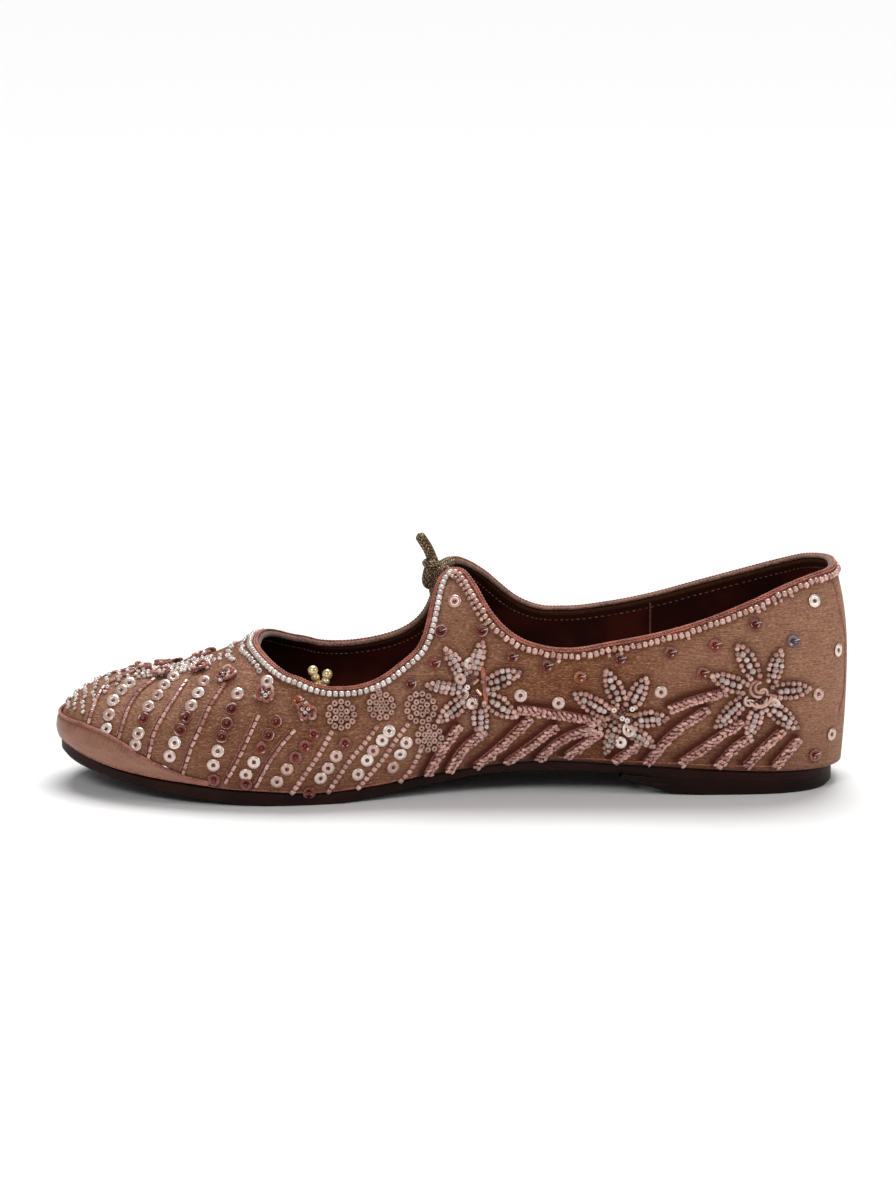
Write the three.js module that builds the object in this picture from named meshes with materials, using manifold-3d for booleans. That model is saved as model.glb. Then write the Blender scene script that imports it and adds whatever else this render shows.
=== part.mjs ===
// A bridal shoe: a right-foot flat with a hollow cloth upper, pointed ears tied over the instep,
// a toe band, a bound collar, a board insole and a leather outsole on a low heel lift.
// Millimetres, +X to the heel, -Y to the inner side of the foot, +Z up.
import * as THREE from "three";
import { mergeVertices } from "three/addons/utils/BufferGeometryUtils.js";
import Module from "manifold-3d";

const wasm = await Module();
wasm.setup();

// Driving sizes
const LENGTH = 250; // heel's back to toe tip
const WALL = 2; // cloth, padding and lining together
const GAP = 0.3; // left between pieces that touch
const INSOLE_THICK = 2;
const BAND_THICK = 0.9; // the folded satin over the toe
const BINDING_WIDE = 2.8;
const BINDING_HIGH = 1.5;
const CORD_WIDE = 3.4; // the knitted tie
const SOLE_MARGIN = 0.6; // how far the outsole stands out past the upper
const SOLE_BEVEL = 1.1;
const LIFT_BEVEL = 0.9;
const LIFT_FRONT = 72; // the lift's front end, from the heel's back

const MEDIAL = -1;
const LATERAL = 1;

// Number tables: a row per section, a name per column, s measured forward from the heel's back.
function table(names, rows) {
  const made = {};
  names.split(" ").forEach((name, k) => (made[name] = rows.map((row) => row[k])));
  return made;
}

// Plan of the last: centre line and half width where the upper meets the sole, and at its widest.
const PLAN = table("s footMiddle footHalf bulgeMiddle bulgeHalf", [
  [0, -1.5, 24.0, -1.5, 25.5],
  [18, -0.8, 25.0, -0.6, 28.0],
  [38, 0.3, 27.0, 0.3, 30.5],
  [65, 1.8, 28.3, 1.0, 32.0],
  [98, 4.3, 29.3, 2.0, 33.5],
  [128, 4.5, 34.0, 3.2, 37.0],
  [153, 3.2, 39.8, 2.6, 41.6],
  [176, 1.3, 42.2, 1.0, 43.6],
  [197, -0.3, 42.6, -0.4, 43.6],
  [215, -1.4, 42.3, -1.4, 43.2],
  [LENGTH, -3.0, 41.0, -3.0, 42.0],
]);

// Heights of those two outlines and of the ridge that would close the last, and how square a section is.
const RISE = table("s foot bulge ridge ridgeMiddle square", [
  [0, 7.4, 40.0, 85.0, -1.0, 2.0],
  [28, 7.6, 34.0, 84.0, -0.5, 2.0],
  [63, 9.5, 29.0, 81.0, 0.5, 2.2],
  [96, 11.0, 27.5, 77.0, 0.5, 2.1],
  [125, 8.6, 24.5, 72.0, 0.0, 1.9],
  [150, 5.2, 20.0, 60.5, -0.5, 1.65],
  [167, 3.9, 18.0, 53.0, -0.8, 1.7],
  [186, 4.9, 16.5, 44.4, -1.0, 1.8],
  [196, 5.5, 15.8, 39.2, -1.4, 1.85],
  [205, 6.5, 15.3, 36.2, -1.8, 1.9],
  [222, 8.2, 15.0, 34.8, -2.6, 1.9],
  [235, 10.4, 16.0, 34.8, -2.9, 1.85],
  [LENGTH, 15.4, 18.3, 34.8, -3.0, 1.85],
]);

// Where a rib that starts at s reaches the ridge.
const LEAN = table("s ridge", [
  [0, 17],
  [40, 47],
  [80, 81.5],
  [110, 110],
  [140, 139],
  [170, 165],
  [200, 188.5],
  [225, 206.5],
  [LENGTH, 222],
]);

// Height of the wall's edge at the collar, with the ears at 122 to 127. The binding stands on it.
const COLLAR = table("s medial lateral", [
  [4, 69.3, 69.3],
  [12, 68.3, 67.8],
  [20, 66.0, 65.0],
  [32, 61.0, 60.9],
  [46, 55.8, 56.3],
  [60, 51.9, 51.9],
  [75, 49.0, 48.5],
  [89, 46.9, 46.8],
  [98, 47.9, 47.3],
  [106, 51.0, 51.1],
  [111, 54.9, 55.6],
  [115, 59.6, 59.7],
  [118.5, 65.0, 62.7],
  [122, 68.6, 65.3],
  [125, 69.0, 66.7],
  [126.8, 68.2, 65.9],
  [128.5, 66.6, 62.6],
  [130, 63.4, 56.6],
  [131.5, 57.6, 51.2],
  [133, 52.2, 47.2],
  [135, 48.0, 43.9],
  [138, 44.9, 40.8],
  [141, 42.6, 38.8],
  [147, 38.6, 36.4],
  [154, 36.2, 34.8],
  [162, 35.7, 34.1],
  [170, 37.1, 35.1],
  [176, 39.4, 37.6],
]);
// The throat's round front is an oval in plan, which takes over from that table between two sections.
const THROAT = { middle: 170, reach: 18, medial: 31.2, lateral: 35.6, square: 2, from: 169, to: 178 };
const FRONT_FALL = 0.7; // how much the skin falls there for each millimetre across

// Top edge of the toe band, as height.
const BAND = table("s top", [
  [201, 7.4],
  [209, 9.4],
  [220, 13.8],
  [229, 18.2],
  [240, 21.0],
  [LENGTH, 21.4],
]);

// Underside of the outsole, with the flat under the ball of the foot and the arch before the heel.
const TREAD = table("s outsole lift", [
  [0, 3.9, 0],
  [47, 5.0, 0],
  [52, 5.3, 0.3],
  [58, 5.7, 1.2],
  [64, 6.1, 3.0],
  [69, 6.6, 4.9],
  [77, 7.2, 5.8],
  [100, 7.5, 6],
  [119, 6.4, 6],
  [129, 4.8, 6],
  [140, 3.2, 6],
  [152, 1.4, 6],
  [162, 0, 6],
  [181, 0, 6],
  [200, 1.4, 6],
  [213, 2.8, 6],
  [224, 4.6, 6],
  [234, 6.4, 6],
  [244, 8.2, 6],
  [LENGTH, 9.8, 6],
]);

// Ends of the outlines, measured like s, and the roundness of heel and toe in plan.
const FOOT_ENDS = [1.4, 249.5];
const SOLE_ENDS = [4.5, 249.7];
const INSOLE_ENDS = [6, 240.5];
const HEEL = { round: 30, square: 2.7 };
const TOE = { round: 82, square: 2.05 };

// Mesh fineness
const COLLAR_COLUMNS = 60;
const VAMP_COLUMNS = 22;
const LOW_ROWS = 3;
const HIGH_ROWS = 6;
const BAND_COLUMNS = 20;
const BAND_ROWS = 4;
const BINDING_SIDES = 6;
const SOLE_STATIONS = 56;
const LIFT_STATIONS = 22;
const INSOLE_STATIONS = 30;
const BEND_WEIGHT = 14; // millimetres of collar that one radian of bend counts for

const clamp = THREE.MathUtils.clamp;
const lerp = THREE.MathUtils.lerp;

// Value of a column at s, along a smooth curve that never overshoots its rows.
function at(source, column, s) {
  const xs = source.s;
  const ys = source[column];
  const last = xs.length - 1;
  const x = clamp(s, xs[0], xs[last]);
  let i = 0;
  while (i < last - 1 && x >= xs[i + 1]) i++;
  const slope = (k) => (ys[k + 1] - ys[k]) / (xs[k + 1] - xs[k]);
  const tangent = (k) => {
    if (k === 0) return slope(0);
    if (k === last) return slope(last - 1);
    const before = slope(k - 1);
    const after = slope(k);
    if (before * after <= 0) return 0;
    const back = xs[k] - xs[k - 1];
    const ahead = xs[k + 1] - xs[k];
    return (before * ahead + after * back) / (back + ahead);
  };
  const span = xs[i + 1] - xs[i];
  const t = (x - xs[i]) / span;
  const far = 1 - t;
  const ends = ys[i] * (1 + 2 * t) * far * far + ys[i + 1] * t * t * (3 - 2 * t);
  return ends + span * (tangent(i) * t * far * far - tangent(i + 1) * t * t * far);
}

// Outlines run with u from 0 at the heel's back to 1 at the toe tip.
const along = (u, from, to) => from + ((to - from) * (1 - Math.cos(Math.PI * u))) / 2;
const uOf = (s, from, to) => Math.acos(1 - (2 * (s - from)) / (to - from)) / Math.PI;

function rounding(s) {
  const back = clamp(1 - s / HEEL.round, 0, 1) ** HEEL.square;
  const front = clamp(1 - (LENGTH - s) / TOE.round, 0, 1) ** TOE.square;
  return (1 - back) ** (1 / HEEL.square) * (1 - front) ** (1 / TOE.square);
}

// A point of the outline where the upper meets the sole, moved out by a margin, with chosen ends.
function footLine(u, side, ends = FOOT_ENDS, margin = 0) {
  const s = along(u, 0, LENGTH);
  const half = (at(PLAN, "footHalf", s) + margin) * rounding(s);
  return { s: along(u, ...ends), y: at(PLAN, "footMiddle", s) + side * half };
}

// Space of the model: s runs against X.
const place = (s, y, z) => new THREE.Vector3(LENGTH / 2 - s, y, z);
const sOf = (point) => LENGTH / 2 - point.x;

// The outside of the upper: rib u of one side, with t 0 at the sole, 1 at the widest and 2 on the ridge.
function skin(u, side, t) {
  const s = along(u, 0, LENGTH);
  const foot = footLine(u, side);
  const bulgeY = at(PLAN, "bulgeMiddle", s) + side * at(PLAN, "bulgeHalf", s) * rounding(s);
  const bulgeZ = at(RISE, "bulge", s);
  if (t <= 1) {
    const tuck = (1 - t) ** 2;
    const footZ = at(RISE, "foot", foot.s);
    return place(lerp(s, foot.s, tuck), lerp(bulgeY, foot.y, tuck), lerp(footZ, bulgeZ, t));
  }
  const ridgeS = at(LEAN, "ridge", s);
  const power = 2 / at(RISE, "square", s);
  const turn = ((Math.min(t, 2) - 1) * Math.PI) / 2;
  const out = t >= 2 ? 0 : Math.cos(turn) ** power;
  const up = Math.sin(turn) ** power;
  const ridgeY = at(RISE, "ridgeMiddle", ridgeS);
  return place(lerp(ridgeS, s, out), lerp(ridgeY, bulgeY, out), lerp(bulgeZ, at(RISE, "ridge", ridgeS), up));
}

// Whether a point of the skin is cloth and not opening.
function isCloth(point, side) {
  const s = sOf(point);
  const below = at(COLLAR, side === MEDIAL ? "medial" : "lateral", s) - point.z;
  const q = clamp((s - THROAT.middle) / THROAT.reach, 0, 1);
  const half = side === MEDIAL ? THROAT.medial : THROAT.lateral;
  const open = half * (1 - q ** THROAT.square) ** (1 / THROAT.square);
  const beside = (Math.abs(point.y - at(RISE, "ridgeMiddle", s)) - open) * FRONT_FALL;
  return lerp(below, beside, THREE.MathUtils.smoothstep(s, THROAT.from, THROAT.to)) >= 0;
}

const FRONT_S = THROAT.middle + THROAT.reach;
const FRONT_U = bisect(0.5, 0.9, (u) => at(LEAN, "ridge", along(u, 0, LENGTH)) < FRONT_S);

// The last place between low and high where test still holds.
function bisect(low, high, test) {
  for (let k = 0; k < 40; k++) {
    const mid = (low + high) / 2;
    if (test(mid)) low = mid;
    else high = mid;
  }
  return low;
}

// How far up its rib the collar runs. It is searched from below, in steps, for the first way out.
// Both sides share the rib at the heel's back.
function collarT(u, side) {
  if (u >= FRONT_U) return 2;
  if (u === 0) side = MEDIAL;
  const step = 0.01;
  let t = 1;
  while (t < 2 && isCloth(skin(u, side, t + step), side)) t += step;
  return bisect(t, t + step, (v) => isCloth(skin(u, side, v), side));
}

// Rib places from the heel's back to the throat's front, closer where the collar bends.
function collarPlaces(side) {
  const fine = 700;
  const points = [];
  for (let k = 0; k <= fine; k++) {
    const u = (FRONT_U * k) / fine;
    points.push(skin(u, side, collarT(u, side)));
  }
  const reached = [0];
  for (let k = 1; k <= fine; k++) {
    const step = points[k].clone().sub(points[k - 1]);
    const before = k > 1 ? points[k - 1].clone().sub(points[k - 2]) : step;
    reached.push(reached[k - 1] + step.length() + BEND_WEIGHT * before.angleTo(step));
  }
  const places = [];
  let k = 0;
  for (let i = 0; i <= COLLAR_COLUMNS; i++) {
    const wanted = (reached[fine] * i) / COLLAR_COLUMNS;
    while (k < fine - 1 && reached[k + 1] < wanted) k++;
    const part = (wanted - reached[k]) / (reached[k + 1] - reached[k]);
    places.push(i === COLLAR_COLUMNS ? FRONT_U : (FRONT_U * (k + part)) / fine);
  }
  return places;
}

function ribs(side) {
  const vamp = [];
  for (let i = 1; i <= VAMP_COLUMNS; i++) vamp.push(lerp(FRONT_U, 1, i / VAMP_COLUMNS));
  return [...collarPlaces(side), ...vamp];
}

// Triangles gathered by point, and closed into one body.
class Body {
  constructor() {
    this.triangles = [];
  }

  triangle(a, b, c) {
    this.triangles.push(a, b, c);
  }

  quad(a, b, c, d) {
    this.triangle(a, b, c);
    this.triangle(a, c, d);
  }

  // A strip of quads between two rows of points. Flipped, its faces look the other way.
  strip(low, high, flipped = false) {
    for (let i = 0; i + 1 < low.length; i++) {
      if (flipped) this.quad(low[i], high[i], high[i + 1], low[i + 1]);
      else this.quad(low[i], low[i + 1], high[i + 1], high[i]);
    }
  }

  geometry() {
    const raw = new THREE.BufferGeometry();
    const flat = this.triangles.flatMap((p) => [p.x, p.y, p.z]);
    raw.setAttribute("position", new THREE.Float32BufferAttribute(flat, 3));
    const merged = mergeVertices(raw, 0.001);
    const index = merged.index.array;
    const kept = [];
    for (let i = 0; i < index.length; i += 3) {
      const [a, b, c] = [index[i], index[i + 1], index[i + 2]];
      if (a !== b && b !== c && c !== a) kept.push(a, b, c);
    }
    merged.setIndex(kept);
    merged.computeVertexNormals();
    return merged;
  }
}

// Outward normals at the skin's grid points, as means of the triangles that meet there.
function gridNormals(sides) {
  const body = new Body();
  for (const { grid, side } of sides) {
    const row = (j) => grid.map((column) => column[j]);
    for (let j = 0; j + 1 < grid[0].length; j++) body.strip(row(j), row(j + 1), side === MEDIAL);
  }
  const key = (p) => [p.x, p.y, p.z].map((v) => Math.round(v * 1000)).join(" ");
  const sums = new Map();
  for (let i = 0; i < body.triangles.length; i += 3) {
    const [a, b, c] = body.triangles.slice(i, i + 3);
    const face = b.clone().sub(a).cross(c.clone().sub(a));
    for (const p of [a, b, c]) {
      if (!sums.has(key(p))) sums.set(key(p), new THREE.Vector3());
      sums.get(key(p)).add(face);
    }
  }
  return (p) => sums.get(key(p)).clone().normalize();
}

// Both sides of the upper as grids of points, a column per rib, a row per height.
function upperGrids() {
  return [MEDIAL, LATERAL].map((side) => {
    const grid = ribs(side).map((u) => {
      const top = collarT(u, side);
      const heights = [];
      for (let j = 0; j < LOW_ROWS; j++) heights.push(j / LOW_ROWS);
      for (let j = 0; j <= HIGH_ROWS; j++) heights.push(1 + ((top - 1) * j) / HIGH_ROWS);
      return heights.map((t) => skin(u, side, t));
    });
    return { side, grid };
  });
}

const SIDES = upperGrids();
const normalAt = gridNormals(SIDES);
const moved = (p, distance) => p.clone().addScaledVector(normalAt(p), distance);

function upper() {
  const body = new Body();
  for (const { side, grid } of SIDES) {
    const inward = side === LATERAL;
    const outer = (j) => grid.map((column) => column[j]);
    const inner = (j) => outer(j).map((p) => moved(p, -WALL));
    const top = grid[0].length - 1;
    for (let j = 0; j < top; j++) {
      body.strip(outer(j), outer(j + 1), !inward);
      body.strip(inner(j), inner(j + 1), inward);
    }
    body.strip(inner(0), outer(0), !inward);
    const rim = (row) => row.slice(0, COLLAR_COLUMNS + 1);
    body.strip(rim(outer(top)), rim(inner(top)), !inward);
  }
  return body.geometry();
}

// A closed tube through a ring of frames, each with a middle and two half axes.
function ringTube(frames, sides) {
  const body = new Body();
  const row = (k) => {
    const turn = (2 * Math.PI * k) / sides;
    const points = frames.map(({ middle, across, up }) =>
      middle.clone().addScaledVector(across, Math.cos(turn)).addScaledVector(up, Math.sin(turn)),
    );
    return [...points, points[0]];
  };
  for (let k = 0; k < sides; k++) body.strip(row(k), row((k + 1) % sides), true);
  return body.geometry();
}

// The binding rides on the collar's rim all the way round.
function collarBinding() {
  const rim = SIDES.map(({ grid }) => grid.slice(0, COLLAR_COLUMNS + 1).map((column) => column.at(-1)));
  const loop = [...rim[0], ...rim[1].slice(1, -1).reverse()];
  const frames = loop.map((p, i) => {
    const before = loop[(i + loop.length - 1) % loop.length];
    const after = loop[(i + 1) % loop.length];
    const ahead = after.clone().sub(before).normalize();
    const out = normalAt(p);
    const up = ahead.clone().cross(out).normalize();
    const lift = 1.5 * GAP + BINDING_HIGH / 2;
    return {
      middle: p.clone().addScaledVector(out, -WALL / 2).addScaledVector(up, lift),
      across: out.multiplyScalar(BINDING_WIDE / 2),
      up: up.multiplyScalar(BINDING_HIGH / 2),
    };
  });
  return ringTube(frames, BINDING_SIDES);
}

// The toe band: a folded strip that follows the skin from one side round the toe to the other.
function toeBand() {
  const start = uOf(BAND.s[0], 0, LENGTH);
  const columns = [];
  for (const side of [MEDIAL, LATERAL]) {
    const places = [];
    for (let i = 0; i <= BAND_COLUMNS; i++) places.push(lerp(start, 1, i / BAND_COLUMNS));
    const run = places.map((u) => {
      const low = 0.1;
      const reach = bisect(0, 1.6, (t) => skin(u, side, t).z < at(BAND, "top", sOf(skin(u, side, t))));
      const top = Math.max(reach, low + 0.12);
      const column = [];
      for (let j = 0; j <= BAND_ROWS; j++) column.push({ u, side, t: lerp(low, top, j / BAND_ROWS) });
      return column;
    });
    columns.push(...(side === MEDIAL ? run : run.slice(0, -1).reverse()));
  }
  const body = new Body();
  const off = (distance) => (spot) => skinOffset(spot.u, spot.side, spot.t, distance);
  const sheet = (distance) => columns.map((column) => column.map(off(distance)));
  const inner = sheet(1.5 * GAP);
  const outer = sheet(1.5 * GAP + BAND_THICK);
  const last = columns.length - 1;
  const row = (grid, j) => grid.map((column) => column[j]);
  for (let j = 0; j < BAND_ROWS; j++) {
    body.strip(row(outer, j), row(outer, j + 1), true);
    body.strip(row(inner, j), row(inner, j + 1));
  }
  body.strip(row(inner, 0), row(outer, 0), true);
  body.strip(row(outer, BAND_ROWS), row(inner, BAND_ROWS), true);
  body.strip(inner[0], outer[0]);
  body.strip(inner[last], outer[last], true);
  return body.geometry();
}

// A point off the skin by a distance, with the normal from small steps on the skin.
function skinOffset(u, side, t, distance) {
  const step = 0.004;
  const point = skin(u, side, t);
  const ahead = u + step > 1 ? skin(2 - u - step, -side, t) : skin(u + step, side, t);
  const behind = u - step < 0 ? skin(step - u, -side, t) : skin(u - step, side, t);
  const rise = skin(u, side, t + step).sub(skin(u, side, Math.max(t - step, 0)));
  const out = ahead.sub(behind).cross(rise).normalize();
  return point.addScaledVector(out, side === MEDIAL ? -distance : distance);
}

// A flat piece lofted between outlines, listed from its top edge down, each a function of u and side.
function slab(levels, places) {
  const body = new Body();
  const line = (level, side) => places.map((u) => level(u, side));
  const [top, bottom] = [levels[0], levels.at(-1)];
  body.strip(line(top, MEDIAL), line(top, LATERAL), true);
  body.strip(line(bottom, MEDIAL), line(bottom, LATERAL));
  for (let k = 0; k + 1 < levels.length; k++) {
    body.strip(line(levels[k + 1], MEDIAL), line(levels[k], MEDIAL), true);
    body.strip(line(levels[k + 1], LATERAL), line(levels[k], LATERAL));
  }
  const endU = places.at(-1);
  const ends = [MEDIAL, LATERAL].map((side) => levels.map((level) => level(endU, side)));
  body.strip(ends[0], ends[1], true);
  return body.geometry();
}

const even = (count, last = 1) => Array.from({ length: count + 1 }, (_, i) => (last * i) / count);

function outsole() {
  const edge = (ends, margin, height) => (u, side) => {
    const { s, y } = footLine(u, side, ends, margin);
    return place(s, y, height(s));
  };
  const inset = [SOLE_ENDS[0] + SOLE_BEVEL, SOLE_ENDS[1] - SOLE_BEVEL];
  const under = (s) => at(TREAD, "outsole", s);
  return slab(
    [
      edge(SOLE_ENDS, SOLE_MARGIN, (s) => at(RISE, "foot", s) - GAP),
      edge(SOLE_ENDS, SOLE_MARGIN, (s) => under(s) + SOLE_BEVEL),
      edge(inset, SOLE_MARGIN - SOLE_BEVEL, under),
    ],
    even(SOLE_STATIONS),
  );
}

function heelLift() {
  const edge = (shrink, height) => (u, side) => {
    const ends = [SOLE_ENDS[0] + shrink, SOLE_ENDS[1]];
    const { s, y } = footLine(u, side, ends, SOLE_MARGIN - shrink);
    return place(s, y, height(s));
  };
  const under = (s) => at(TREAD, "lift", s);
  const topZ = (s) => at(TREAD, "outsole", s) - GAP;
  return slab(
    [
      edge(0, topZ),
      edge(0, (s) => lerp(under(s), topZ(s), 0.3)),
      edge(LIFT_BEVEL, under),
    ],
    even(LIFT_STATIONS, uOf(LIFT_FRONT, ...SOLE_ENDS)),
  );
}

function insole() {
  const inset = -(WALL + 3.5 * GAP);
  const edge = (above) => (u, side) => {
    const { s, y } = footLine(u, side, INSOLE_ENDS, inset);
    return place(s, y, at(RISE, "foot", s) + above);
  };
  return slab([edge(INSOLE_THICK), edge(0)], even(INSOLE_STATIONS));
}

// The knitted tie: a short run from the tip of each ear to the knot, and the knot's two ends.
// The upper end stands free. The inner one hangs down inside the ear and rests along the inner wall.
// A route lists s, y and z.
const KNOT = { place: [131.9, -1, 66.1], half: [3.2, 3.2, 4.9] };
const CORDS = [
  {
    name: "tie_medial",
    route: [
      [126.2, -7.4, 68.2],
      [127.4, -5.2, 67.6],
      [129.2, -3.4, 66.8],
    ],
  },
  {
    name: "tie_lateral",
    route: [
      [125.3, 13.6, 66.7],
      [127.2, 8.5, 67.2],
      [130.2, 2.5, 66.7],
    ],
  },
  {
    name: "tie_end_upper",
    route: [
      [131.9, -1.0, 71.4],
      [133.0, -1.2, 74.0],
      [134.8, -1.5, 76.6],
      [136.0, -1.6, 78.0],
    ],
  },
  {
    name: "tie_end_inner",
    route: [
      [131.0, -2.6, 61.3],
      [129.8, -8.0, 55.0],
      [131.0, -15.0, 47.0],
      [136.0, -22.0, 39.0],
      [144.0, -27.5, 33.0],
      [153.0, -30.8, 30.2],
      [160.0, -31.2, 30.8],
      [164.8, -30.0, 32.4],
    ],
  },
];
// Two short strands of round beads on the inner end, as s, y, z and diameter.
const BEADS = [
  [166.4, -29.2, 34.0, 3.0],
  [167.3, -28.9, 36.4, 2.8],
  [168.0, -28.7, 38.4, 2.9],
  [168.8, -28.7, 40.7, 3.3],
  [165.6, -28.9, 35.6, 2.8],
  [164.9, -28.7, 37.3, 2.8],
  [164.3, -28.7, 39.5, 3.3],
];
const CORD_SIDES = 8;

function cord({ route }) {
  const path = new THREE.CatmullRomCurve3(route.map((row) => place(...row)));
  const section = new THREE.Shape();
  for (let k = 0; k < CORD_SIDES; k++) {
    const turn = (2 * Math.PI * k) / CORD_SIDES;
    const corner = [(Math.cos(turn) * CORD_WIDE) / 2, (Math.sin(turn) * CORD_WIDE) / 2];
    if (k === 0) section.moveTo(...corner);
    else section.lineTo(...corner);
  }
  section.closePath();
  const steps = Math.max(3, Math.round(path.getLength() / CORD_WIDE));
  return bare(new THREE.ExtrudeGeometry(section, { steps, extrudePath: path }));
}

// A geometry with its points merged and nothing but their places kept.
function bare(geometry) {
  geometry.deleteAttribute("normal");
  geometry.deleteAttribute("uv");
  return mergeVertices(geometry, 0.001);
}

function knot() {
  return bare(new THREE.SphereGeometry(1, 12, 8).rotateX(Math.PI / 2))
    .scale(...KNOT.half)
    .translate(...place(...KNOT.place));
}

// Beads that touch are joined into one body.
function tieBeads() {
  const solids = BEADS.map(([s, y, z, wide]) => {
    const ball = bare(new THREE.IcosahedronGeometry(wide / 2 + 0.2, 1)).translate(...place(s, y, z));
    const vertProperties = new Float32Array(ball.attributes.position.array);
    return new wasm.Manifold(
      new wasm.Mesh({ numProp: 3, vertProperties, triVerts: new Uint32Array(ball.index.array) }),
    );
  });
  const joined = solids.reduce((all, one) => all.add(one)).getMesh();
  const made = new THREE.BufferGeometry();
  made.setAttribute("position", new THREE.BufferAttribute(joined.vertProperties, 3));
  made.setIndex(new THREE.BufferAttribute(joined.triVerts, 1));
  return made;
}

// Each material has its colour, roughness and metalness.
const material = (color, roughness, metalness = 0) =>
  new THREE.MeshStandardMaterial({ color, roughness, metalness });
const CLOTH = 0x89674f;
const SATIN = 0x936a5b;
const PIPING = 0xb4705f;
const BOARD = 0x3a1d14;
const LEATHER = 0x2b1612;
const LIFT = 0x3b1d16;
const KNIT = 0x6b5a3c;
const GOLD = 0xd8c08a;

const PIECES = [
  ["upper", upper(), material(CLOTH, 0.85)],
  ["outsole", outsole(), material(LEATHER, 0.5)],
  ["heel_lift", heelLift(), material(LIFT, 0.45)],
  ["insole", insole(), material(BOARD, 0.7)],
  ["toe_band", toeBand(), material(SATIN, 0.45)],
  ["collar_binding", collarBinding(), material(PIPING, 0.6)],
  ["tie_knot", knot(), material(KNIT, 0.5, 0.5)],
  ["tie_beads", tieBeads(), material(GOLD, 0.3, 0.6)],
  ...CORDS.map((one) => [one.name, cord(one), material(KNIT, 0.5, 0.5)]),
];

const shoe = new THREE.Group();
for (const [name, geometry, finish] of PIECES) {
  const mesh = new THREE.Mesh(geometry, finish);
  mesh.name = name;
  shoe.add(mesh);
}

// The origin is below the middle of the shoe, on the floor. The loose tie isn't measured.
const box = new THREE.Box3();
for (const mesh of shoe.children) {
  if (!mesh.name.startsWith("tie_")) box.expandByObject(mesh);
}
const middle = box.getCenter(new THREE.Vector3());
shoe.position.set(-middle.x, -middle.y, -box.min.z);

export default shoe;
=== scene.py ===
# A bridal shoe of embroidered satin velvet, tied over the instep with a gold knitted cord.
# Lengths are millimetres, s runs forward from the heel's back, y to the outer side and z up,
# until place() turns them into the frame's metres.
import math

import bmesh
import bpy
import numpy as np
from mathutils import Matrix, Vector
from mathutils.bvhtree import BVHTree
from mathutils.interpolate import poly_3d_calc
from mathutils.kdtree import KDTree


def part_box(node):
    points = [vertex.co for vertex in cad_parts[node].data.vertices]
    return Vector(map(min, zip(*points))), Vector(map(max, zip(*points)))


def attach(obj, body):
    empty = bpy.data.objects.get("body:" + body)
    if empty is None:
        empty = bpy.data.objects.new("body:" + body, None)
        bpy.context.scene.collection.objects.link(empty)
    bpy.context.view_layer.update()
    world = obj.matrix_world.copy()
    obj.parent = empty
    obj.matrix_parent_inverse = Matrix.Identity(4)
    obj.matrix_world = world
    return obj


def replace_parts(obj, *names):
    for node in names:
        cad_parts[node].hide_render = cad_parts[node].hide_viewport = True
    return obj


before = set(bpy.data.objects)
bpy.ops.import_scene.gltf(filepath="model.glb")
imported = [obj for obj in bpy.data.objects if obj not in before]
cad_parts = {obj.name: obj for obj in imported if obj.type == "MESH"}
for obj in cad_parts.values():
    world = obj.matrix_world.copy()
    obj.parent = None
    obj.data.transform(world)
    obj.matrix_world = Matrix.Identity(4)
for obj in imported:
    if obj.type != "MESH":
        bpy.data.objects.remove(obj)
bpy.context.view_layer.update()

MM = 0.001
BODY = "root"
MEDIAL = -1
LATERAL = 1
SEED = 7

# The last's own sizes
LENGTH = 250.0
WALL = 2.0
GAP = 0.3
CLOTH_THICK = 1.15
LINING_THICK = 0.6
INSOLE_THICK = 2.0
BAND_THICK = 0.9
SOLE_MARGIN = 0.6
SOLE_BEVEL = 1.1
LIFT_BEVEL = 0.9
LIFT_FRONT = 72.0
CORD_WIDE = 3.4
KNOT_PLACE = (131.9, -1.0, 66.1)


def table(names, rows):
    """Columns of numbers by name, s first."""
    return dict(zip(names.split(), np.array(rows, float).T))


PLAN = table("s foot_middle foot_half bulge_middle bulge_half", [
    (0, -1.5, 24.0, -1.5, 25.5),
    (18, -0.8, 25.0, -0.6, 28.0),
    (38, 0.3, 27.0, 0.3, 30.5),
    (65, 1.8, 28.3, 1.0, 32.0),
    (98, 4.3, 29.3, 2.0, 33.5),
    (128, 4.5, 34.0, 3.2, 37.0),
    (153, 3.2, 39.8, 2.6, 41.6),
    (176, 1.3, 42.2, 1.0, 43.6),
    (197, -0.3, 42.6, -0.4, 43.6),
    (215, -1.4, 42.3, -1.4, 43.2),
    (LENGTH, -3.0, 41.0, -3.0, 42.0),
])
RISE = table("s foot bulge ridge ridge_middle square", [
    (0, 7.4, 40.0, 85.0, -1.0, 2.0),
    (28, 7.6, 34.0, 84.0, -0.5, 2.0),
    (63, 9.5, 29.0, 81.0, 0.5, 2.2),
    (96, 11.0, 27.5, 77.0, 0.5, 2.1),
    (125, 8.6, 24.5, 72.0, 0.0, 1.9),
    (150, 5.2, 20.0, 60.5, -0.5, 1.65),
    (167, 3.9, 18.0, 53.0, -0.8, 1.7),
    (186, 4.9, 16.5, 44.4, -1.0, 1.8),
    (196, 5.5, 15.8, 39.2, -1.4, 1.85),
    (205, 6.5, 15.3, 36.2, -1.8, 1.9),
    (222, 8.2, 15.0, 34.8, -2.6, 1.9),
    (235, 10.4, 16.0, 34.8, -2.9, 1.85),
    (LENGTH, 15.4, 18.3, 34.8, -3.0, 1.85),
])
LEAN = table("s ridge", [
    (0, 17), (40, 47), (80, 81.5), (110, 110), (140, 139), (170, 165), (200, 188.5), (225, 206.5),
    (LENGTH, 222),
])
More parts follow.
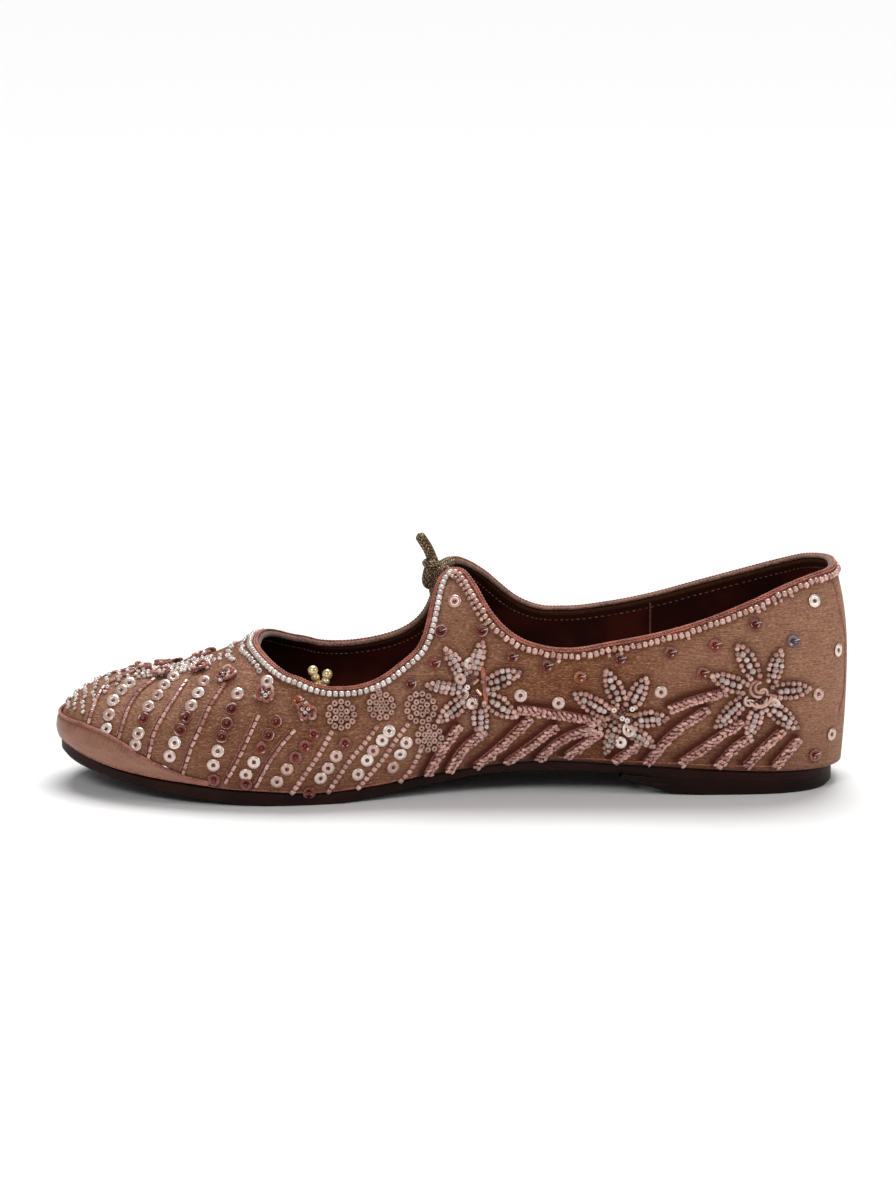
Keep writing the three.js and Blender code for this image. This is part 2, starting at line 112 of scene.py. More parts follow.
COLLAR = table("s medial lateral", [
    (4, 69.3, 69.3), (12, 68.3, 67.8), (20, 66.0, 65.0), (32, 61.0, 60.9), (46, 55.8, 56.3),
    (60, 51.9, 51.9), (75, 49.0, 48.5), (89, 46.9, 46.8), (98, 47.9, 47.3), (106, 51.0, 51.1),
    (111, 54.9, 55.6), (115, 59.6, 59.7), (118.5, 65.0, 62.7), (122, 68.6, 65.3), (125, 69.0, 66.7),
    (126.8, 68.2, 65.9), (128.5, 66.6, 62.6), (130, 63.4, 56.6), (131.5, 57.6, 51.2), (133, 52.2, 47.2),
    (135, 48.0, 43.9), (138, 44.9, 40.8), (141, 42.6, 38.8), (147, 38.6, 36.4), (154, 36.2, 34.8),
    (162, 35.7, 34.1), (170, 37.1, 35.1), (176, 39.4, 37.6),
])
THROAT_MIDDLE = 170.0
THROAT_REACH = 18.0
THROAT_HALF = {MEDIAL: 31.2, LATERAL: 35.6}
THROAT_SQUARE = 2.0
THROAT_FROM = 169.0
THROAT_TO = 178.0
FRONT_FALL = 0.7
BAND = table("s top", [(201, 7.4), (209, 9.4), (220, 13.8), (229, 18.2), (240, 21.0), (LENGTH, 21.4)])
TREAD = table("s outsole lift", [
    (0, 3.9, 0), (47, 5.0, 0), (52, 5.3, 0.3), (58, 5.7, 1.2), (64, 6.1, 3.0), (69, 6.6, 4.9), (77, 7.2, 5.8),
    (100, 7.5, 6), (119, 6.4, 6), (129, 4.8, 6), (140, 3.2, 6), (152, 1.4, 6), (162, 0, 6), (181, 0, 6),
    (200, 1.4, 6), (213, 2.8, 6), (224, 4.6, 6), (234, 6.4, 6), (244, 8.2, 6), (LENGTH, 9.8, 6),
])
FOOT_ENDS = (1.4, 249.5)
SOLE_ENDS = (4.5, 249.7)
INSOLE_ENDS = (6.0, 240.5)
HEEL_ROUND = 30.0
HEEL_SQUARE = 2.7
TOE_ROUND = 82.0
TOE_SQUARE = 2.05


# Shape of the last

def at(source, column, s):
    """The smooth value of a column at s, which never overshoots its rows."""
    xs = source["s"]
    ys = source[column]
    widths = np.diff(xs)
    slopes = np.diff(ys) / widths
    tangents = np.empty(len(xs))
    tangents[0] = slopes[0]
    tangents[-1] = slopes[-1]
    before, after = slopes[:-1], slopes[1:]
    blend = (before * widths[1:] + after * widths[:-1]) / (widths[1:] + widths[:-1])
    tangents[1:-1] = np.where(before * after <= 0, 0, blend)
    s = np.clip(s, xs[0], xs[-1])
    i = np.clip(np.searchsorted(xs, s, side="right") - 1, 0, len(widths) - 1)
    t = (s - xs[i]) / widths[i]
    far = 1 - t
    ends = ys[i] * (1 + 2 * t) * far * far + ys[i + 1] * t * t * (3 - 2 * t)
    return ends + widths[i] * (tangents[i] * t * far * far - tangents[i + 1] * t * t * far)


def lerp(a, b, t):
    return a + (b - a) * t


def along(u, start, end):
    return start + (end - start) * (1 - np.cos(np.pi * u)) / 2


def u_of(s, start=0.0, end=LENGTH):
    return math.acos(1 - 2 * (s - start) / (end - start)) / math.pi


def rounding(s):
    back = np.clip(1 - s / HEEL_ROUND, 0, 1) ** HEEL_SQUARE
    front = np.clip(1 - (LENGTH - s) / TOE_ROUND, 0, 1) ** TOE_SQUARE
    return (1 - back) ** (1 / HEEL_SQUARE) * (1 - front) ** (1 / TOE_SQUARE)


def foot_line(u, side, ends=FOOT_ENDS, margin=0.0):
    """s and y where the upper meets the sole, moved out by a margin."""
    s = along(u, 0, LENGTH)
    half = (at(PLAN, "foot_half", s) + margin) * rounding(s)
    return along(u, *ends), at(PLAN, "foot_middle", s) + side * half


def skin(u, side, t):
    """Points (s, y, z) of the upper's outside: t is 0 at the sole, 1 at the widest, 2 on the ridge."""
    u, side, t = np.broadcast_arrays(np.asarray(u, float), np.asarray(side, float), np.asarray(t, float))
    s = along(u, 0, LENGTH)
    foot_s, foot_y = foot_line(u, side)
    bulge_y = at(PLAN, "bulge_middle", s) + side * at(PLAN, "bulge_half", s) * rounding(s)
    bulge_z = at(RISE, "bulge", s)
    low = np.clip(t, 0, 1)
    tuck = (1 - low) ** 2
    ridge_s = at(LEAN, "ridge", s)
    power = 2 / at(RISE, "square", s)
    turn = np.clip(t - 1, 0, 1) * np.pi / 2
    out = np.where(t >= 2, 0, np.abs(np.cos(turn)) ** power)
    up = np.abs(np.sin(turn)) ** power
    lower = (lerp(s, foot_s, tuck), lerp(bulge_y, foot_y, tuck), lerp(at(RISE, "foot", foot_s), bulge_z, low))
    ridge_y = at(RISE, "ridge_middle", ridge_s)
    ridge_z = at(RISE, "ridge", ridge_s)
    upper = (lerp(ridge_s, s, out), lerp(ridge_y, bulge_y, out), lerp(bulge_z, ridge_z, up))
    return np.stack([np.where(t > 1, high, below) for high, below in zip(upper, lower)], -1)


def is_cloth(points, side):
    """Whether points of the skin are cloth and not opening."""
    s, y, z = points[..., 0], points[..., 1], points[..., 2]
    below = at(COLLAR, "medial" if side == MEDIAL else "lateral", s) - z
    q = np.clip((s - THROAT_MIDDLE) / THROAT_REACH, 0, 1)
    opening = THROAT_HALF[side] * (1 - q ** THROAT_SQUARE) ** (1 / THROAT_SQUARE)
    beside = (np.abs(y - at(RISE, "ridge_middle", s)) - opening) * FRONT_FALL
    k = np.clip((s - THROAT_FROM) / (THROAT_TO - THROAT_FROM), 0, 1)
    return lerp(below, beside, k * k * (3 - 2 * k)) >= 0


def narrowed(low, high, holds, steps):
    """Halves the way from low, where a test holds, to high, where it doesn't."""
    for _ in range(steps):
        middle = (low + high) / 2
        good = holds(middle)
        low = np.where(good, middle, low)
        high = np.where(good, high, middle)
    return low


def find_front():
    """The rib that reaches the ridge at the throat's front."""
    short = lambda u: at(LEAN, "ridge", along(u, 0, LENGTH)) < THROAT_MIDDLE + THROAT_REACH
    return float(narrowed(0.5, 0.9, short, 40))


FRONT_U = find_front()
FINE = 1400
FINE_U = np.linspace(0, FRONT_U, FINE + 1)


def find_collar(side):
    """How far up its rib the collar runs, for every fine place from the heel to the throat's front."""
    climb = np.linspace(1, 2, 201)
    inside = is_cloth(skin(FINE_U[:, None], side, climb[None, :]), side)
    first = np.argmax(~inside, axis=1)
    good = lambda t: is_cloth(skin(FINE_U, side, t), side)
    edge = narrowed(climb[np.maximum(first - 1, 0)], climb[first], good, 30)
    found = np.where(inside.all(axis=1), 2.0, edge)
    found[-1] = 2.0
    return found


COLLAR_T = {MEDIAL: find_collar(MEDIAL), LATERAL: find_collar(LATERAL)}
COLLAR_T[LATERAL][0] = COLLAR_T[MEDIAL][0]


def collar_t(u, side):
    return np.interp(u, FINE_U, COLLAR_T[side])


LOW_SHARE = 0.34  # share of the rows from the sole to the widest part


def climb_of(u, side, v):
    """The rib's t for v, which is 0 at the sole and 1 at the collar or the ridge."""
    top = collar_t(u, side)
    return np.where(v < LOW_SHARE, v / LOW_SHARE, 1 + (top - 1) * (v - LOW_SHARE) / (1 - LOW_SHARE))


def cloth_point(u, side, v):
    return skin(u, side, climb_of(u, side, v))


def unit(vectors):
    return vectors / np.maximum(np.linalg.norm(vectors, axis=-1, keepdims=True), 1e-12)


def walked(line):
    """How far along a line each of its points is."""
    return np.concatenate([[0], np.cumsum(np.linalg.norm(np.diff(line, axis=0), axis=1))])


def cloth_frame(u, side, v, step=0.003):
    """Points of the skin with their outward normal, the way to the toe and the way up."""
    u = np.asarray(u, float)
    v = np.asarray(v, float)
    here = cloth_point(u, side, v)
    ahead = cloth_point(np.minimum(u + step, 1), side, v) - cloth_point(np.maximum(u - step, 0), side, v)
    rise = cloth_point(u, side, np.minimum(v + step, 1)) - cloth_point(u, side, np.maximum(v - step, 0))
    ahead = unit(ahead)
    out = unit(np.cross(ahead, rise)) * -side
    return here, out, ahead, unit(np.cross(ahead, out) * side)


# From millimetres of the last to metres of the frame
KNOT_BOX = np.array(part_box("tie_knot"), float)
UNMOVED = np.array([LENGTH / 2 - KNOT_PLACE[0], KNOT_PLACE[1], KNOT_PLACE[2]]) * MM
SHIFT = KNOT_BOX.mean(axis=0) - UNMOVED


def place(points):
    points = np.asarray(points, float)
    turned = np.stack([LENGTH / 2 - points[..., 0], points[..., 1], points[..., 2]], -1)
    return turned * MM + SHIFT


def heading(vectors):
    """Directions in (s, y, z) as directions of the frame."""
    return np.asarray(vectors, float) * (-1.0, 1.0, 1.0)


def unplace(point):
    """Back from the frame's metres to millimetres of the last."""
    x, y, z = (np.array(point) - SHIFT) / MM
    return np.array([LENGTH / 2 - x, y, z])


# Camera, from the photograph
PHOTO_WIDE = 896
PHOTO_HIGH = 1200
FOCAL_PX = 5020.0
AIM_PX = (452.4, 690.0)
AIM = place((125.2, 0.0, 27.6))
ELEVATION = math.radians(13.5)
DISTANCE = 1.6
SENSOR = 36.0

EYE = AIM + DISTANCE * np.array([0.0, -math.cos(ELEVATION), math.sin(ELEVATION)])
AHEAD = (AIM - EYE) / DISTANCE
RIGHT = np.array([1.0, 0.0, 0.0])
UP = np.cross(RIGHT, AHEAD)


def in_scene(name, data):
    """A new object of the scene."""
    made = bpy.data.objects.new(name, data)
    bpy.context.scene.collection.objects.link(made)
    return made


def add_camera():
    lens = bpy.data.cameras.new("photo_camera")
    lens.sensor_fit = "HORIZONTAL"
    lens.sensor_width = SENSOR
    lens.lens = SENSOR * FOCAL_PX / PHOTO_WIDE
    lens.shift_x = (PHOTO_WIDE / 2 - AIM_PX[0]) / PHOTO_WIDE
    lens.shift_y = (AIM_PX[1] - PHOTO_HIGH / 2) / PHOTO_WIDE
    lens.clip_end = 20
    camera = in_scene("photo_camera", lens)
    camera.location = EYE
    camera.rotation_euler = (math.pi / 2 - ELEVATION, 0, 0)
    bpy.context.scene.camera = camera


def sight(px, py):
    """The direction in which the camera sees a pixel of the photograph."""
    return Vector(AHEAD * FOCAL_PX + RIGHT * (px - AIM_PX[0]) + UP * (AIM_PX[1] - py)).normalized()


# Shader nodes written as sums

def colour(red, green, blue):
    """A colour of 0 to 255, as the shader wants it."""
    parts = [c / 255 for c in (red, green, blue)]
    return (*(((c + 0.055) / 1.055) ** 2.4 if c > 10 / 255 else c / 12.92 for c in parts), 1.0)


def painted(value):
    """A colour given as red, green and blue, as the shader wants it. Anything else stays as it is."""
    return colour(*value) if isinstance(value, tuple) else value


class Value:
    """A node's output, on which arithmetic adds Math nodes."""

    def __init__(self, finish, socket):
        self.finish = finish
        self.socket = socket

    def math(self, operation, *values):
        inputs = dict(enumerate((self, *values)))
        return self.finish.node("ShaderNodeMath", {"operation": operation}, inputs)

    def __add__(self, other):
        return self.math("ADD", other)

    def __mul__(self, other):
        return self.math("MULTIPLY", other)

    def __sub__(self, other):
        return self.math("SUBTRACT", other)

    def __rsub__(self, other):
        return (self * -1) + other

    __radd__ = __add__
    __rmul__ = __mul__

    def clipped(self):
        return self.math("MAXIMUM", 0.0).math("MINIMUM", 1.0)

    def folded(self):
        """How far it is from the middle of its step of 1."""
        return (self.math("FRACT") - 0.5).math("ABSOLUTE")

    def between(self, low, high):
        """0 below low, 1 above high and smooth between."""
        settings = {"interpolation_type": "SMOOTHSTEP"}
        inputs = {"Value": self, "From Min": low, "From Max": high}
        return self.finish.node("ShaderNodeMapRange", settings, inputs)


class Finish:
    """A material in the making. Its colours are given as red, green and blue of 0 to 255."""

    def __init__(self, name, **constants):
        self.material = bpy.data.materials.new(name)
        self.material.use_nodes = True
        self.tree = self.material.node_tree
        self.shader = self.tree.nodes["Principled BSDF"]
        self.show(**{socket: painted(value) for socket, value in constants.items()})

    def feed(self, socket, value):
        if isinstance(value, Value):
            self.tree.links.new(value.socket, socket)
        else:
            socket.default_value = value

    def node(self, kind, settings=None, inputs=None, output=0):
        made = self.tree.nodes.new(kind)
        for key, value in (settings or {}).items():
            setattr(made, key, value)
        for key, value in (inputs or {}).items():
            self.feed(made.inputs[key], value)
        return Value(self, made.outputs[output])

    def mix(self, factor, *colours):
        first, second = map(painted, colours)
        return self.node("ShaderNodeMix", {"data_type": "RGBA"}, {0: factor, 6: first, 7: second}, 2)

    def object_place(self, scale=(1.0, 1.0, 1.0)):
        where = self.node("ShaderNodeTexCoord", output=3)
        return self.node("ShaderNodeMapping", inputs={"Vector": where, "Scale": scale})

    def surface_place(self, along=1.0, across=1.0):
        where = self.node("ShaderNodeUVMap", {"uv_map": "cloth"})
        return self.node("ShaderNodeMapping", inputs={"Vector": where, "Scale": (along, across, 1.0)})

    def noise(self, where, scale=1.0, detail=2.0, roughness=0.5):
        inputs = {"Vector": where, "Scale": scale, "Detail": detail, "Roughness": roughness}
        return self.node("ShaderNodeTexNoise", inputs=inputs)

    def attribute(self, name):
        return self.node("ShaderNodeAttribute", {"attribute_name": name}, output=2)

    def bump(self, height, strength, millimetres):
        inputs = {"Height": height, "Strength": strength, "Distance": millimetres * MM}
        return self.node("ShaderNodeBump", inputs=inputs)

    def show(self, **channels):
        for name, value in channels.items():
            self.feed(self.shader.inputs[name.replace("_", " ")], value)
        return self.material


def velvet_finish():
    """Satin velvet with a fine woven grain, browner over the arch, with painted shade there, towards the sole
    and beside the stitching.
    """
    sheen = {"Sheen_Weight": 0.12, "Sheen_Roughness": 0.35, "Sheen_Tint": (235, 190, 170)}
    finish = Finish("satin_velvet", Specular_IOR_Level=0.15, **sheen)
    weave = finish.noise(finish.surface_place(0.9, 2.5), roughness=0.6)
    streaks = finish.noise(finish.surface_place(0.22, 1.3), detail=3.0, roughness=0.6)
    patches = finish.noise(finish.surface_place(0.06, 0.1))
    threads = weave * 0.65 + streaks * 0.35
    # Browner and darker over the middle of the shoe: partly the cloth's own colour and partly painted shade.
    shade = finish.mix(finish.attribute("brown").clipped(), (152, 108, 84), (116, 66, 36))
    shade = finish.mix(patches.between(0.35, 0.7) * 0.25, shade, (172, 126, 104))
    shade = finish.mix((1 - threads.between(0.36, 0.5)) * 0.5, shade, (58, 28, 16))
    shade = finish.mix(threads.between(0.5, 0.64) * 0.5, shade, (206, 158, 124))
    # Darker towards the sole: partly painted shade and partly a darker nap there.
    shade = finish.mix(finish.attribute("low") * 0.3, shade, (92, 50, 36))
    # Painted shade beside the embroidery, where the beads and threads would shade the cloth.
    shade = finish.mix(finish.attribute("painted_shade").clipped() * 0.92, shade, (74, 24, 10))
    return finish.show(Base_Color=shade, Roughness=weave * 0.2 + 0.5, Normal=finish.bump(threads, 1.0, 0.7))


def lining_finish():
    """Dark suede lining, with a brown facing along the collar."""
    finish = Finish("suede_lining", Specular_IOR_Level=0.15)
    grain = finish.noise(finish.object_place(), 1600.0, 3.0)
    patches = finish.noise(finish.object_place(), 60.0)
    drop = finish.attribute("drop")
    suede = finish.mix(patches.between(0.35, 0.65), (46, 12, 7), (74, 24, 14))
    facing = finish.mix(grain.between(0.3, 0.7), (66, 30, 16), (92, 52, 32))
    facing = finish.mix(drop.between(0.9, 1.5), facing, (50, 20, 11))
    shade = finish.mix(drop.between(2.6, 3.2), facing, suede)
    return finish.show(Base_Color=shade, Roughness=grain * 0.2 + 0.7, Normal=finish.bump(grain, 0.3, 0.15))


def satin_finish():
    """Plain folded satin over the toe."""
    finish = Finish("toe_satin", Sheen_Weight=0.2, Sheen_Roughness=0.3, Specular_IOR_Level=0.4)
    threads = finish.noise(finish.surface_place(3.0, 0.5), detail=3.0, roughness=0.6)
    grain = finish.noise(finish.surface_place(), 3.0)
    patches = finish.noise(finish.surface_place(0.08, 0.2))
    shade = finish.mix(patches.between(0.3, 0.7), (124, 80, 62), (150, 102, 82))
    shade = finish.mix(threads.between(0.35, 0.7), shade, (168, 120, 98))
    folds = finish.bump(threads * 0.7 + grain * 0.3, 0.4, 0.15)
    return finish.show(Base_Color=shade, Roughness=grain * 0.15 + 0.42, Normal=folds)


def fibre_finish(finish, grain, patches, shades, worn, rough, bump):
    """A fibrous surface: patches of two shades, worn paler where the grain stands up."""
    shade = finish.mix(patches.between(0.3, 0.7), *shades)
    shade = finish.mix(grain.between(*worn[:2]), shade, worn[2])
    return finish.show(Base_Color=shade, Roughness=grain * 0.2 + rough, Normal=finish.bump(grain, *bump))


def silk_finish(name, dark, light, rough=0.5):
    """Silk thread with fibres along it."""
    finish = Finish(name, Sheen_Weight=0.2, Specular_IOR_Level=0.4)
    fibres = finish.noise(finish.object_place(), 2600.0, 3.0, 0.6)
    patches = finish.noise(finish.object_place(), 220.0)
    worn = (0.45, 0.8, (224, 158, 138))
    return fibre_finish(finish, fibres, patches, (dark, light), worn, rough, (0.5, 0.12))


def leather_finish(name, dark, light):
    """Waxed leather with a pressed grain and pale scuffs."""
    finish = Finish(name, Specular_IOR_Level=0.12)
    where = finish.object_place()
    cells = finish.node("ShaderNodeTexVoronoi", inputs={"Vector": where, "Scale": 900.0})
    patches = finish.noise(where, 70.0, 3.0)
    fine = finish.noise(where, 2200.0)
    scuffs = finish.noise(finish.object_place((0.25, 0.25, 2.0)), 900.0).between(0.62, 0.8)
    shade = finish.mix(scuffs * 0.25, finish.mix(patches.between(0.3, 0.7), dark, light), (84, 52, 42))
    return finish.show(
        Base_Color=shade,
        Roughness=patches * 0.2 + 0.5,
        Coat_Weight=(1 - scuffs) * 0.04,
        Normal=finish.bump(cells * 0.6 + fine * 0.4, 0.25, 0.12),
    )


def board_finish():
    """The insole's suede face, worn paler where its grain stands up."""
    finish = Finish("insole_suede", Specular_IOR_Level=0.2)
    grain = finish.noise(finish.object_place(), 1500.0, 3.0)
    patches = finish.noise(finish.object_place(), 40.0)
    shades = ((38, 13, 9), (60, 24, 15))
    worn = (0.5, 0.8, (84, 44, 30))
    return fibre_finish(finish, grain, patches, shades, worn, 0.65, (0.3, 0.15))


STITCH_WIDE = 1.9
STITCH_LONG = 1.25


def knit_finish():
    """Gold and black metallic yarn, knitted into a cord of small V loops."""
    finish = Finish("metallic_knit", Specular_IOR_Level=0.5)
    where = finish.surface_place()
    forward, around = (finish.node("ShaderNodeSeparateXYZ", None, {0: where}, axis) for axis in (0, 1))
    column = (around * (1 / STITCH_WIDE)).folded()
    loops = ((forward + column * 2.2) * (1 / STITCH_LONG)).folded() * 2
    gap = (1 - column * 2).between(0.0, 0.25) * column.between(0.0, 0.1)
    yarn = loops * 0.75 + gap * 0.25
    glints = finish.noise(where, 1.9)
    bright = (glints.between(0.34, 0.6) * yarn.between(0.35, 0.8)).clipped()
    return finish.show(
        Base_Color=finish.mix(bright, (30, 19, 11), (212, 170, 122)),
        Metallic=bright * 0.6,
        Roughness=0.55 - bright * 0.25,
        Normal=finish.bump(yarn, 0.9, 0.6),
    )


def pearl_finish():
    """Gold-lustred round beads."""
    finish = Finish("gold_pearl", Specular_IOR_Level=0.6, Coat_Weight=0.6, Coat_Roughness=0.1)
    swirl = finish.noise(finish.object_place(), 500.0)
    return finish.show(
        Base_Color=finish.mix(swirl.between(0.3, 0.7), (196, 160, 96), (246, 230, 190)),
        Metallic=swirl * 0.4 + 0.3,
        Roughness=swirl * 0.1 + 0.2,
    )


def floor_finish():
    finish = Finish("pale_floor", Roughness=0.9, Specular_IOR_Level=0.1)
    mottle = finish.noise(finish.object_place(), 3.0)
    return finish.show(Base_Color=finish.mix(mottle * 0.05, (246, 246, 246), (240, 240, 240)))


# Meshes

def mesh_of(name, bm, material):
    """A mesh made from a bmesh, which is used up."""
    mesh = bpy.data.meshes.new(name)
    bm.to_mesh(mesh)
    bm.free()
    if material:
        mesh.materials.append(material)
    return mesh


def add_piece(name, bm, material, slot=None, smooth=True):
    """A finished piece from a bmesh, riding on the shoe."""
    mesh = mesh_of(name, bm, material)
    if smooth:
        mesh.shade_smooth()
    piece = in_scene(name, mesh)
    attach(piece, BODY)
    return piece


def join_in(bm, made):
    """Adds one bmesh to another."""
    mesh = mesh_of("part", made, None)
    bm.from_mesh(mesh)
    bpy.data.meshes.remove(mesh)


def move_to(bm, points):
    """Moves a bmesh's vertices to points of the last."""
    for vertex, point in zip(bm.verts, place(points)):
        vertex.co = point


def sheet_mesh(across, up, shape, texture, keep_places=False):
    """A grid bent by shape(p, q), which gives (s, y, z) for p and q from 0 to 1.
    texture(p, q) gives the surface's own coordinates, and p and q themselves may be kept with it."""
    bm = bmesh.new()
    bmesh.ops.create_grid(bm, x_segments=across, y_segments=up, size=1)
    flat = np.array([v.co[:] for v in bm.verts])
    p, q = (flat[:, :2].T + 1) / 2
    maps = {"cloth": texture(p, q)}
    if keep_places:
        maps["ribs"] = (p, q)
    for name, uv in maps.items():
        layer = bm.loops.layers.uv.new(name)
        uv = np.stack(uv, -1)
        for face in bm.faces:
            for loop in face.loops:
                loop[layer].uv = uv[loop.vert.index]
    move_to(bm, shape(p, q))
    return bm


def close_up(bm, near=0.01 * MM):
    """Merges points that meet and turns the faces outward."""
    bmesh.ops.remove_doubles(bm, verts=bm.verts, dist=near)
    bmesh.ops.recalc_face_normals(bm, faces=bm.faces)


def faces_out(bm, probe):
    """Turns an open sheet over if the face nearest to a probe outside it looks away from it."""
    tree = BVHTree.FromBMesh(bm)
    near, normal, index, distance = tree.find_nearest(Vector(probe))
    if (Vector(probe) - near).dot(normal) < 0:
        bmesh.ops.reverse_faces(bm, faces=bm.faces)


def collar_places(side, count, bend_weight=14.0):
    """Rib places from heel to throat front, closer where the collar bends."""
    points = skin(FINE_U, side, COLLAR_T[side])
    steps = np.diff(points, axis=0)
    long = np.linalg.norm(steps, axis=1)
    ways = steps / long[:, None]
    bends = np.arccos(np.clip((ways[1:] * ways[:-1]).sum(axis=1), -1, 1))
    reached = np.concatenate([[0], np.cumsum(long + bend_weight * np.concatenate([[0], bends]))])
    return np.interp(np.linspace(0, reached[-1], count + 1), reached, FINE_U)


COLLAR_COLUMNS = 210
VAMP_COLUMNS = 64
ROWS = 44
COLUMNS = COLLAR_COLUMNS + VAMP_COLUMNS
RIBS = {
    side: np.concatenate([collar_places(side, COLLAR_COLUMNS), np.linspace(FRONT_U, 1, VAMP_COLUMNS + 1)[1:]])
    for side in (MEDIAL, LATERAL)
}


def rib_at(p):
    """The rib and the side for p, from the heel round the inner side, the toe and the outer side."""
    column = p * 2 * COLUMNS
    inner = np.interp(column, np.arange(COLUMNS + 1), RIBS[MEDIAL])
    outer = np.interp(2 * COLUMNS - column, np.arange(COLUMNS + 1), RIBS[LATERAL])
    medial = column <= COLUMNS
    return np.where(medial, inner, outer), medial


def whole_skin(p, q):
    u, medial = rib_at(p)
    return np.where(medial[:, None], cloth_point(u, MEDIAL, q), cloth_point(u, LATERAL, q))


def skin_texture(p, q):
    """Millimetres round the shoe and up it."""
    u, medial = rib_at(p)
    s = along(u, 0, LENGTH)
    return np.where(medial, s, 2 * LENGTH - s), whole_skin(p, q)[:, 2]


def moved_in(bm, distance):
    """Moves a sheet's points along their normals."""
    bm.normal_update()
    shifts = [v.normal * distance for v in bm.verts]
    for vertex, shift in zip(bm.verts, shifts):
        vertex.co += shift


def thicken(piece, thick):
    wall = piece.modifiers.new("wall", "SOLIDIFY")
    wall.thickness = thick * MM
    wall.offset = -1
    wall.use_even_offset = True


OUTSIDE = (0.0, -1.0, 0.03)


class Cloth:
    """The finished outside of the upper, on which a ray or a nearest point finds its rib and height."""

    def __init__(self, bm):
        places = bm.loops.layers.uv["ribs"]
        corner = lambda loop: (loop.vert.co.copy(), loop[places].uv.copy())
        self.corners = [[corner(loop) for loop in face.loops] for face in bm.faces]
        self.tree = BVHTree.FromBMesh(bm)

    def rib_place(self, hit, index):
        """Rib and height of a point of the inner side, or None on the outer side."""
        corners = self.corners[index]
        weights = poly_3d_calc([place for place, uv in corners], hit)
        p = sum(uv[0] * weight for (place, uv), weight in zip(corners, weights))
        q = sum(uv[1] * weight for (place, uv), weight in zip(corners, weights))
        if p > 0.5:
            return None
        return float(rib_at(np.array([p]))[0][0]), q


# How brown and dark the cloth is, by x from the toe to the heel: partly its own colour and partly painted
# shade, darkest over the middle and lightest at the heel.
BROWN_AND_SHADE_PLACES = (
    (-125, -95, -78, -45, -25, -10, 5, 25, 50, 75, 95, 122),
    (0.15, 0.3, 0.65, 0.7, 0.45, 0.2, 0.4, 0.85, 0.95, 0.45, 0.15, 0.0),
)


def add_upper():
    """The embroidered cloth, and the places on it for the embroidery."""
    bm = sheet_mesh(2 * COLUMNS, ROWS, whole_skin, skin_texture, keep_places=True)
    low = bm.verts.layers.float.new("low")
    brown = bm.verts.layers.float.new("brown")
    for vertex in bm.verts:
        x, y, z = vertex.co / MM
        # low: darker towards the sole, partly painted shade and partly a darker nap, fading out higher up.
        vertex[low] = max(0.0, 1 - (z - 6) / 24)
        vertex[brown] = np.interp(x, *BROWN_AND_SHADE_PLACES)
    close_up(bm)
    faces_out(bm, OUTSIDE)
    cloth = Cloth(bm)
    bm.loops.layers.uv.remove(bm.loops.layers.uv["ribs"])
    piece = add_piece("upper_cloth", bm, velvet_finish(), "velvet")
    thicken(piece, CLOTH_THICK)
    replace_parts(piece, "upper")
    cloth.piece = piece
    return cloth


def paint_shade_beside_embroidery():
    """Darkens the cloth beside the stems, the petals and the other embroidery with painted shade, where the
    embroidery would shade it.
    """
    tree = KDTree(len(PAINTED_SHADE_SPOTS))
    for index, (point, reach, depth) in enumerate(PAINTED_SHADE_SPOTS):
        tree.insert(place(point), index)
    tree.balance()
    mesh = CLOTH.piece.data
    values = []
    for vertex in mesh.vertices:
        best = 0.0
        for near, index, distance in tree.find_range(vertex.co, 6 * MM):
            point, reach, depth = PAINTED_SHADE_SPOTS[index]
            best = max(best, depth * math.exp(-((distance / MM / reach) ** 2)))
        values.append(best)
    mesh.attributes.new("painted_shade", "FLOAT", "POINT").data.foreach_set("value", values)


def add_lining():
    bm = sheet_mesh(2 * COLUMNS, ROWS, whole_skin, skin_texture)
    drop = bm.verts.layers.float.new("drop")
    ladder = np.array([v.co[:] for v in bm.verts]).reshape(ROWS + 1, 2 * COLUMNS + 1, 3)
    reach = np.linalg.norm(np.diff(ladder, axis=0), axis=2)[::-1].cumsum(axis=0)[::-1] / MM
    fall = np.concatenate([reach, np.zeros((1, reach.shape[1]))])
    for vertex, value in zip(bm.verts, fall.ravel()):
        vertex[drop] = value
    close_up(bm)
    faces_out(bm, OUTSIDE)
    moved_in(bm, -(CLOTH_THICK + 0.1) * MM)
    thicken(add_piece("lining", bm, lining_finish()), LINING_THICK)


def loft(levels, places):
    """A flat piece between outlines of the sole, the top one first, each with ends, margin and height."""
    bm = bmesh.new()
    loops = []
    for level in levels:
        ring = [sole_edge(places, MEDIAL, *level), sole_edge(places[::-1], LATERAL, *level)]
        verts = [bm.verts.new(point) for point in place(np.concatenate(ring))]
        loops.append([bm.edges.new((verts[i], verts[(i + 1) % len(verts)])) for i in range(len(verts))])
    for above, below in zip(loops, loops[1:]):
        bmesh.ops.bridge_loops(bm, edges=above + below)
    for end in (loops[0], loops[-1]):
        bmesh.ops.triangle_fill(bm, edges=end, use_beauty=True)
    close_up(bm)
    return bm


def sole_edge(u, side, ends, margin, height):
    """The sole's outline at a height, moved out by a margin. Margin and height may change with s."""
    out = margin(along(u, *ends)) if callable(margin) else margin
    s, y = foot_line(u, side, ends, out)
    return np.stack([s, y, height(s)], -1)


def sole_bevel(s):
    """The bevel of the sole's lower edge, which the heel lift hides."""
    return lerp(0.1, SOLE_BEVEL, np.clip((s - 56) / 10, 0, 1))


